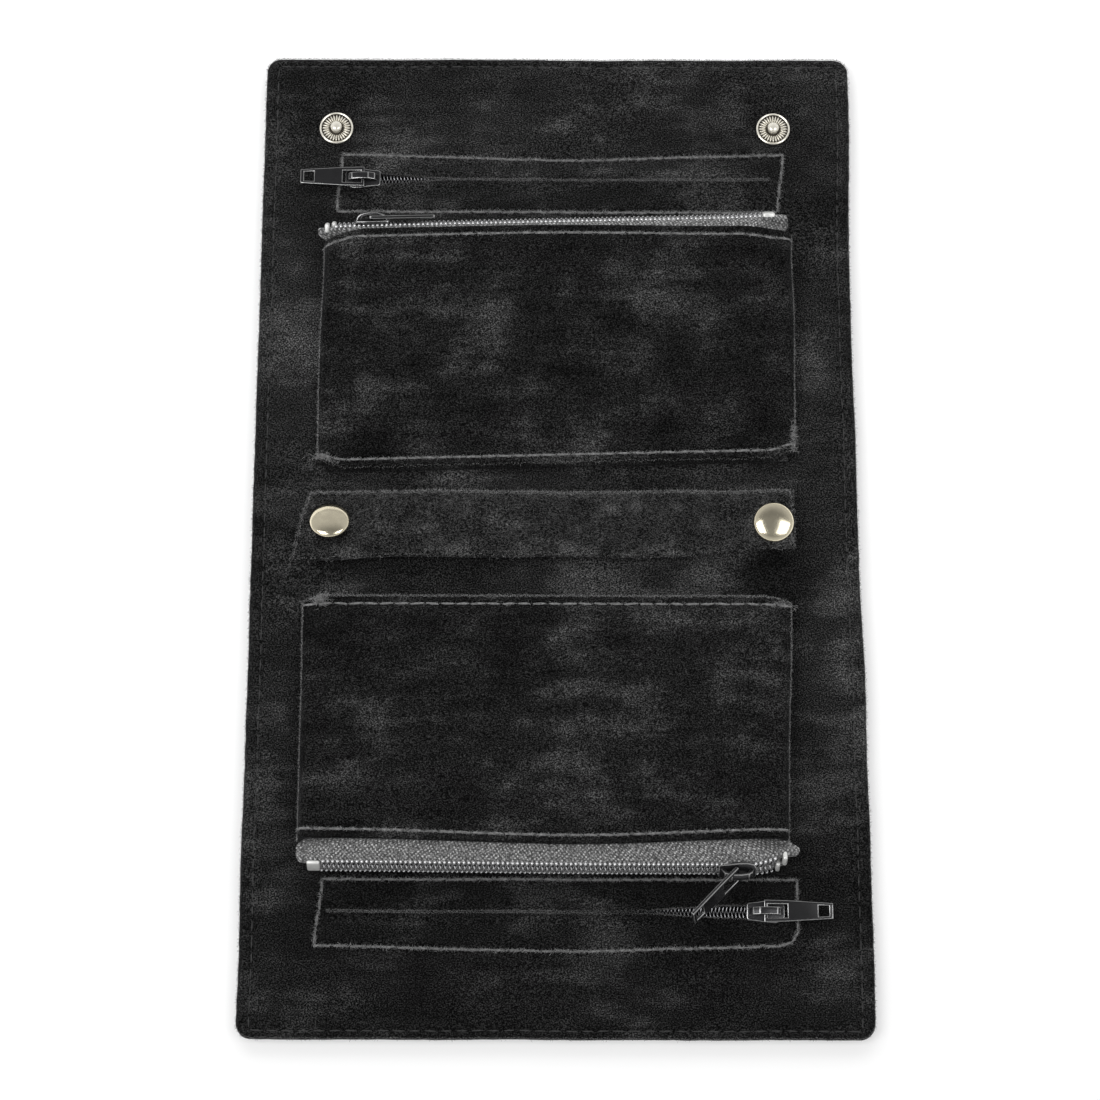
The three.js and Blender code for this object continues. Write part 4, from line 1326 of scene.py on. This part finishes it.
def side_seats(pouch, place, side):
    """Seats along the turn of one side of a pouch's front."""
    count = round((pouch.depth - 8) / SIDE_FIBRE_PITCH)
    turn = place.to_3x3()
    out = turn @ Vector((0.75 * side, 0, 0.65))
    seats = []
    for i in range(count):
        y = 1.5 + (i + 0.5) * SIDE_FIBRE_PITCH
        point = front_point(pouch, side * (front_half(pouch, y, side) - 0.5), y)
        seats.append(Seat(place @ point - FIBRE_RAISED * out, turn @ Vector((0, 1, 0)), out))
    return seats


def pouch_sewing(pouch, place):
    """A pouch's stitches, and the pile raised along its seams, lip and sides."""
    def seam_line(x):
        return SEAM_STITCH

    def lip_seam_line(x):
        return lip_line(pouch, x) - LIP_STITCH

    seam_edge = front_seats(pouch, place, lambda x: SEAM_EDGE, pouch.edge_fuzz, SEAM_EDGE_SUNK)
    sewn = [s for line in (seam_line, lip_seam_line) for s in front_seats(pouch, place, line, STITCH_PITCH)]
    stitches = [stitch(s, POUCH_STITCH_SHOWN) for s in sewn]
    raised = [fibre(s, SEAM_PILE) for s in front_seats(pouch, place, seam_line, pouch.seam_fuzz)]
    raised += [fibre(s, SEAM_PILE) for s in front_seats(pouch, place, lip_seam_line, FIBRE_PITCH)]
    raised += [fibre(s, SIDE_PILE) for side in (-1, 1) for s in side_seats(pouch, place, side)]
    raised += [fibre(s, FRAY_PILE) for s in fray_seats(pouch, place)]
    raised += [fibre(s, SEAM_EDGE_PILE) for s in seam_edge]
    sew_on(scattered(f"{pouch.name}_stitches", bead, stitches, THREAD), pouch, place)
    sew_on(scattered(f"{pouch.name}_raised_pile", spike, raised, PILE_TIPS_SHEEN), pouch, place)


def along_path(points, distance):
    """The point at a distance along a path of straight lengths."""
    for start, end in zip(points, points[1:]):
        length = (end - start).length
        if distance <= length:
            return start + (end - start) * distance / length
        distance -= length
    return points[-1]


def across_zip(pouch, distance):
    """A place down the zip's face from its middle line, as (out, up) in the pouch's frame."""
    lean = ZIP_LEAN + pouch.zip_roll
    return Vector((pouch.depth + distance * math.sin(lean), ZIP_RISE - distance * math.cos(lean)))


def front_tape_path(pouch):
    edge = across_zip(pouch, -0.9)
    bend = across_zip(pouch, -1.7)
    return [edge, bend, bend + Vector((-0.5, 0.5)), bend + Vector((-2.8, 1.3)), bend + Vector((-9.0, 0.9))]


def back_tape_path(pouch):
    edge = across_zip(pouch, 0.9)
    bend = across_zip(pouch, 2.8)
    return [edge, bend, bend + Vector((-0.6, -0.5)), Vector((bend.x - 9.0, 1.6))]


def pouch_tape(pouch, place, face, path, inside_out):
    top, bottom = (half - TAPE_BACK_SHORT * inside_out for half in pouch.tape_sides)
    mesh = cloth_grid((-top, 0), (bottom, TAPE_WIDTH), TAPE_GRID, (), TAPE_CUTS)

    def lay(x, y, z):
        point = along_path(path, y)
        corner = TAPE_CORNER * (1 - math.sqrt(1 - max(1 - y / TAPE_CORNER, 0) ** 2))
        end = 0 if x < 0 else 1
        hidden = pouch.depth - lip_line(pouch, x) - 2.6
        tuck = pouch.tape_sides[end] - pouch.lip_sides[end] + TAPE_TUCK
        tuck *= smooth(y, hidden if end else 1.2, hidden + 2.5)
        shown = x * (1 - (corner + tuck) / pouch.tape_sides[end])
        sunk = 0 if inside_out else TAPE_END_DROP * smooth(abs(x), 55, ZIP_END) * smooth(y, 1.2, 3.4)
        return Vector((shown, point.x - zip_curl(pouch, x) + 0.12 * ripple(x, y, 7.0, 4.0), point.y - sunk))

    shape(mesh, lay)
    if inside_out:
        bmesh.ops.reverse_faces(mesh, faces=mesh.faces)
    thicken(mesh, TAPE_THICKNESS)
    mesh.transform(place)
    node = f"{pouch.name}_tape_{face}"
    piece = new_piece(f"{node}_cloth", mesh, TAPE_WEAVE, sharp=60)
    on_body(piece, pouch.name, "zip_tape", node)


def make_pouch(pouch):
    place = pouch_frame(pouch)
    zip_place = zip_frame(pouch, pouch.zip_roll)
    pouch_front(pouch, place)
    pouch_back(pouch, place)
    pouch_sewing(pouch, place)
    pouch_tape(pouch, place, "front", front_tape_path(pouch), False)
    pouch_tape(pouch, place, "back", back_tape_path(pouch), True)
    for face, side in (("front", -1), ("back", 1)):
        coil(
            f"{pouch.name}_chain_{face}", pouch.name, zip_place, side, COIL_END,
            POUCH_SLIDER_X - COIL_PARTED_FROM, COIL_PARTED, COIL_PITCH, LIT_COIL,
            lambda x: zip_curl(pouch, x),
        )
    bottom_stop = f"{pouch.name}_bottom_stop"
    stop(bottom_stop, pouch.name, zip_place, *BOTTOM_STOP, zip_curl(pouch, BOTTOM_STOP_X))
    for face, side in (("front", -1), ("back", 1)):
        top_stop = f"{pouch.name}_top_stop_{face}"
        middle = (TOP_STOP_X + TOP_STOP_STAGGER * side, TOP_STOP_APART * side, 0)
        low, high = ([a + b for a, b in zip(middle, end)] for end in (TOP_STOP_LOW, TOP_STOP_HIGH))
        stop(top_stop, pouch.name, zip_place, low, high, zip_curl(pouch, TOP_STOP_X))
    slider(pouch.name, zip_frame(pouch, pouch.slider_roll), POUCH_SLIDER_X, *POUCH_PLATES)
    pull(pouch.name, zip_frame(pouch), POUCH_SLIDER_X, POUCH_PIN, pouch.pull_tilt, pouch.pull_twist)


# Ring bar and snaps


def strap_place(x, y, z):
    """The strap sags between its snaps, and its left end is turned down and longer on its lower side."""
    left = 1 - smooth(x, BAR_LEFT, BAR_LEFT + STRAP_END_SPAN)
    across = (y - BAR_MIDDLE) / BAR_HALF
    low_side = max(-across, 0)
    y_moved = y - STRAP_LONGER * left * low_side + 0.35 * ripple(x, 3 * across, 13.0, 6.0)
    y_moved += STRAP_STEP * low_side * smooth(x, *STRAP_STEP_SPAN)
    x_moved = x + STRAP_SLANT * left * across - STRAP_END_REACH * left - STRAP_SHIFT
    span = (x - CAP_LEFT.x) / (CAP_RIGHT.x - CAP_LEFT.x)
    sag = BAR_SAG * math.sin(math.pi * min(max(span, 0), 1)) ** 0.7
    edge = math.sqrt(max(1 - across ** 6, 0.0))
    end = smooth(min(x - BAR_LEFT, BAR_RIGHT - x), -0.2, 1.4)
    half = (BAR_HIGH.z - BAR_LOW.z) / 2
    middle = (BAR_HIGH.z + BAR_LOW.z) / 2 - sag + 0.3 * ripple(x, y, 11.0, 9.0) - STRAP_LEAN * across * left
    past_crease = x - (CAP_LEFT.x + 5.5 + 0.85 * (y - CAP_LEFT.y))
    turned_end = STRAP_TURN * (1 - smooth(past_crease, -0.5, 0.5)) + STRAP_CREASE * hump(past_crease, 0.9)
    middle -= turned_end * smooth(y, CAP_LEFT.y, CAP_LEFT.y + 4)
    return Vector((x_moved, y_moved, middle + z * half * (0.25 + 0.75 * edge * (0.4 + 0.6 * end))))


def make_strap():
    along = [BAR_MIDDLE + side * (BAR_HALF - inset) for side in (-1, 1) for inset in (0.2, 0.5, 1.0)]
    mesh = cloth_grid(
        (BAR_LEFT, BAR_MIDDLE - BAR_HALF), (BAR_RIGHT, BAR_MIDDLE + BAR_HALF), STRAP_GRID,
        (BAR_LEFT + 0.4, BAR_LEFT + 0.9, BAR_RIGHT - 0.9, BAR_RIGHT - 0.4), along,
    )
    bmesh.ops.translate(mesh, vec=(0, 0, 2), verts=extrude(mesh, mesh.faces[:]))
    bmesh.ops.translate(mesh, vec=(0, 0, -1), verts=mesh.verts)
    shape(mesh, strap_place)
    bmesh.ops.recalc_face_normals(mesh, faces=mesh.faces)
    piece = new_piece("ring_bar_velvet", mesh, STRAP_VELVET, sharp=80)
    bend_strap(piece)
    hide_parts("ring_bar_anchor", "ring_bar_strap")


def bend_strap(piece):
    """Bakes a piece of the ring bar into place."""
    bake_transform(piece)


def strap_seats():
    """Seats round the strap's four edges, fewer on its lower one, which leaves that edge darker: painted
    shade.
    """
    half = BAR_HALF - OUTLINE_INSET
    edges = rectangle(BAR_LEFT + 0.5, BAR_MIDDLE - half, BAR_RIGHT - 0.5, BAR_MIDDLE + half)
    seats = []
    for start, end in edges:
        along = (end - start).normalized().to_3d()
        out = Vector((0.6 * along.y, -0.6 * along.x, 0.8))
        for x, y in spaced(start, end, FIBRE_PITCH * (STRAP_LOW_EDGE if along.x > 0.5 else 1)):
            seats.append(Seat(strap_place(x, y, 0.8) - FIBRE_RAISED * out, along, out))
    return seats


def fur_seats():
    """Seats all over the strap's face, clear of its snap caps."""
    seats = []
    for _ in range(STRAP_FUR):
        x = PILE.uniform(BAR_LEFT + 0.6, BAR_RIGHT - 0.6)
        # Denser towards the top edge, so that the grey fur makes that edge lighter: painted light.
        y = BAR_MIDDLE + (BAR_HALF - 0.6) * (1 - 2 * PILE.random() ** 1.4)
        if min(math.hypot(x - snap.x, y - snap.y) for snap in (CAP_LEFT, CAP_RIGHT)) > CAP_RADIUS + 0.8:
            seats.append(Seat(strap_place(x, y, 0.9) - FIBRE_RAISED * UP, RIGHT, UP))
    return seats


def make_strap_fuzz():
    for name, seats, pile, material in (
        ("ring_bar_fuzz", strap_seats(), STRAP_FUZZ, PILE_TIPS_SHEEN),
        ("ring_bar_fur", fur_seats(), STRAP_FUR_PILE, STRAP_PILE_SHEEN),
    ):
        bend_strap(scattered(name, spike, [fibre(seat, *pile) for seat in seats], material))


def turned(profile, steps=48):
    """A round piece, spun from a profile of (radius, height) points that starts and ends on its axis."""
    mesh = bmesh.new()
    verts = [mesh.verts.new((radius, 0, height)) for radius, height in profile]
    edges = [mesh.edges.new(pair) for pair in zip(verts, verts[1:])]
    bmesh.ops.spin(
        mesh, geom=verts + edges, cent=(0, 0, 0), axis=(0, 0, 1), angle=2 * math.pi, steps=steps,
        use_merge=True,
    )
    bmesh.ops.remove_doubles(mesh, verts=mesh.verts, dist=0.001)
    bmesh.ops.recalc_face_normals(mesh, faces=mesh.faces)
    return mesh


def at_height(base, profile):
    return [(radius, base + height) for radius, height in profile]


def centre_on(mesh, node):
    """Moves a round piece to the middle of a CAD node."""
    middle = node_middle(node)
    bmesh.ops.translate(mesh, vec=(middle.x, middle.y, 0), verts=mesh.verts)


def cap(side, body, tilt):
    """A snap cap: a low dome with a rolled rim, its shank and the socket under the strap."""
    node = f"ring_bar_cap_{side}"
    low, high = node_box(node)
    rim = high.z - CAP_HEIGHT
    dome = [(CAP_RADIUS * math.cos(a), 0.35 + 1.45 * math.sin(a)) for a in CAP_ANGLES]
    mesh = turned(at_height(rim, [*CAP_RIM, *dome, (0, CAP_HEIGHT)]))
    add_mesh(mesh, turned([*at_height(low.z, CAP_SOCKET), (1.5, rim), (0, rim)]))
    bmesh.ops.rotate(mesh, cent=(0, 0, rim), matrix=Matrix.Rotation(tilt, 3, "X"), verts=mesh.verts)
    centre_on(mesh, node)
    on_body(new_piece(f"ring_bar_dome_{side}", mesh, PALE_NICKEL), body, "pale_nickel", node)


def stud(node, body):
    """A snap stud: a rolled rim, a ring of pressed ribs and the ball that snaps."""
    foot = node_box(node)[0].z
    mesh = turned([(0, foot), (1.5, foot), *at_height(PANEL_TOP, STUD)], 56)
    # The sunk ring round the ball takes the second slot, painted shade between the ribs.
    for face in mesh.faces:
        middle = face.calc_center_median()
        if 1.42 < middle.xy.length < 4.36 and 0.2 < middle.z - PANEL_TOP < 0.5:
            face.material_index = 1
    rib = Matrix.Translation((3.05, 0, PANEL_TOP + 0.35)) @ Matrix.Diagonal((1.15, 0.25, 0.42, 1))
    repeat(mesh, bead, [Matrix.Rotation(2 * math.pi * i / RIBS, 4, "Z") @ rib for i in range(RIBS)])
    centre_on(mesh, node)
    on_body(new_piece(f"{node}_metal", mesh, LIT_STUD_NICKEL, RECESS_SHADE), body, "pale_nickel", node)


def cover_socket(side):
    """A snap socket in the outer cover: a rolled barrel round the hole for the ball."""
    node = f"closing_socket_{side}"
    mesh = turned(COVER_SOCKET)
    centre_on(mesh, node)
    on_body(new_piece(f"{node}_metal", mesh, PALE_NICKEL), "lower_section", "pale_nickel", node)


def make_snaps():
    for side in ("left", "right"):
        stud(f"closing_stud_{side}", "top_flap")
        stud(f"ring_bar_stud_{side}", "spine")
        cover_socket(side)
        washer = frame["nodes"][f"closing_washer_{side}"]
        washer.data.materials.clear()
        washer.data.materials.append(PALE_NICKEL)
    cap("left", "spine", CAP_TILT_LEFT)
    cap("right", "ring_bar", CAP_TILT_RIGHT)


# Table, light and camera


def table_material():
    """White for the camera and in reflections, with the roll's soft shadow left on it."""
    material = bpy.data.materials.new("white_table")
    material.use_nodes = True
    tree = material.node_tree
    tree.nodes.clear()
    paint = add_node(tree, "ShaderNodeBsdfDiffuse", Color=(0.8, 0.8, 0.8, 1)).outputs["BSDF"]
    shade = add_node(tree, "ShaderNodeBsdfDiffuse", Color=(0.62, 0.62, 0.62, 1)).outputs["BSDF"]
    glow = add_node(tree, "ShaderNodeEmission", Color=(1, 1, 1, 1), Strength=0.38).outputs["Emission"]
    white = tree.nodes.new("ShaderNodeAddShader")
    tree.links.new(shade, white.inputs[0])
    tree.links.new(glow, white.inputs[1])
    path = tree.nodes.new("ShaderNodeLightPath")
    seen = math_node(tree, "MAXIMUM", path.outputs["Is Camera Ray"], path.outputs["Is Glossy Ray"])
    seen = math_node(tree, "MAXIMUM", seen, path.outputs["Is Transmission Ray"])
    choice = tree.nodes.new("ShaderNodeMixShader")
    tree.links.new(seen, choice.inputs["Fac"])
    tree.links.new(paint, choice.inputs[1])
    tree.links.new(white.outputs["Shader"], choice.inputs[2])
    output = tree.nodes.new("ShaderNodeOutputMaterial")
    tree.links.new(choice.outputs["Shader"], output.inputs["Surface"])
    return material


def make_table():
    mesh = bmesh.new()
    bmesh.ops.create_grid(mesh, x_segments=2, y_segments=2, size=3000)
    bmesh.ops.translate(mesh, vec=(0, 0, -0.3), verts=mesh.verts)
    new_piece("white_table", mesh, table_material())


def make_world():
    """A studio: bright low walls, a dark line above them, a warm grey higher up and a dark ceiling."""
    world = bpy.data.worlds.new("studio")
    world.use_nodes = True
    tree = world.node_tree
    way = add_node(tree, "ShaderNodeTexCoord").outputs["Generated"]
    height = add_node(tree, "ShaderNodeSeparateXYZ", Vector=way).outputs["Z"]
    walls = ramp(tree, height, (0.0, 1.0), (0.2, 1.0), (0.24, 0.12), (0.3, 0.56), (0.7, 0.46), (0.9, 0.2))
    tree.links.new(walls, tree.nodes["Background"].inputs["Color"])
    tree.nodes["Background"].inputs["Strength"].default_value = 1.0
    bpy.context.scene.world = world


def make_lights():
    """Soft boxes that face the roll's middle. The back one stays out of reflections."""
    for name, place, width, height, power in SOFT_BOXES:
        light = bpy.data.lights.new(name, "AREA")
        light.shape = "RECTANGLE"
        light.size = width
        light.size_y = height
        light.energy = power
        lamp = bpy.data.objects.new(name, light)
        lamp.location = place
        lamp.rotation_euler = (-Vector(place)).to_track_quat("-Z", "Y").to_euler()
        lamp.visible_glossy = name != "back_box"
        bpy.context.collection.objects.link(lamp)


def make_camera():
    data = bpy.data.cameras.new("camera")
    data.sensor_width = SENSOR_WIDTH
    data.lens = FOCAL_PIXELS * SENSOR_WIDTH / PHOTO_SIZE
    data.clip_start = 0.01
    camera = bpy.data.objects.new("camera", data)
    back = Vector((0, -math.sin(CAMERA_TILT), math.cos(CAMERA_TILT)))
    turn = Matrix.Rotation(CAMERA_TILT, 4, "X") @ Matrix.Rotation(CAMERA_ROLL, 4, "Z")
    camera.matrix_world = Matrix.Translation((CAMERA_AIM + back * CAMERA_DISTANCE) * MM) @ turn
    bpy.context.collection.objects.link(camera)
    bpy.context.scene.camera = camera


bpy.context.scene.view_settings.view_transform = "Standard"
make_camera()
make_world()
make_lights()
make_table()
make_panel()
for slit in SLITS:
    make_slit_zip(slit)
for pouch in (UPPER_POUCH, LOWER_POUCH):
    make_pouch(pouch)
make_strap()
make_strap_fuzz()
make_snaps()
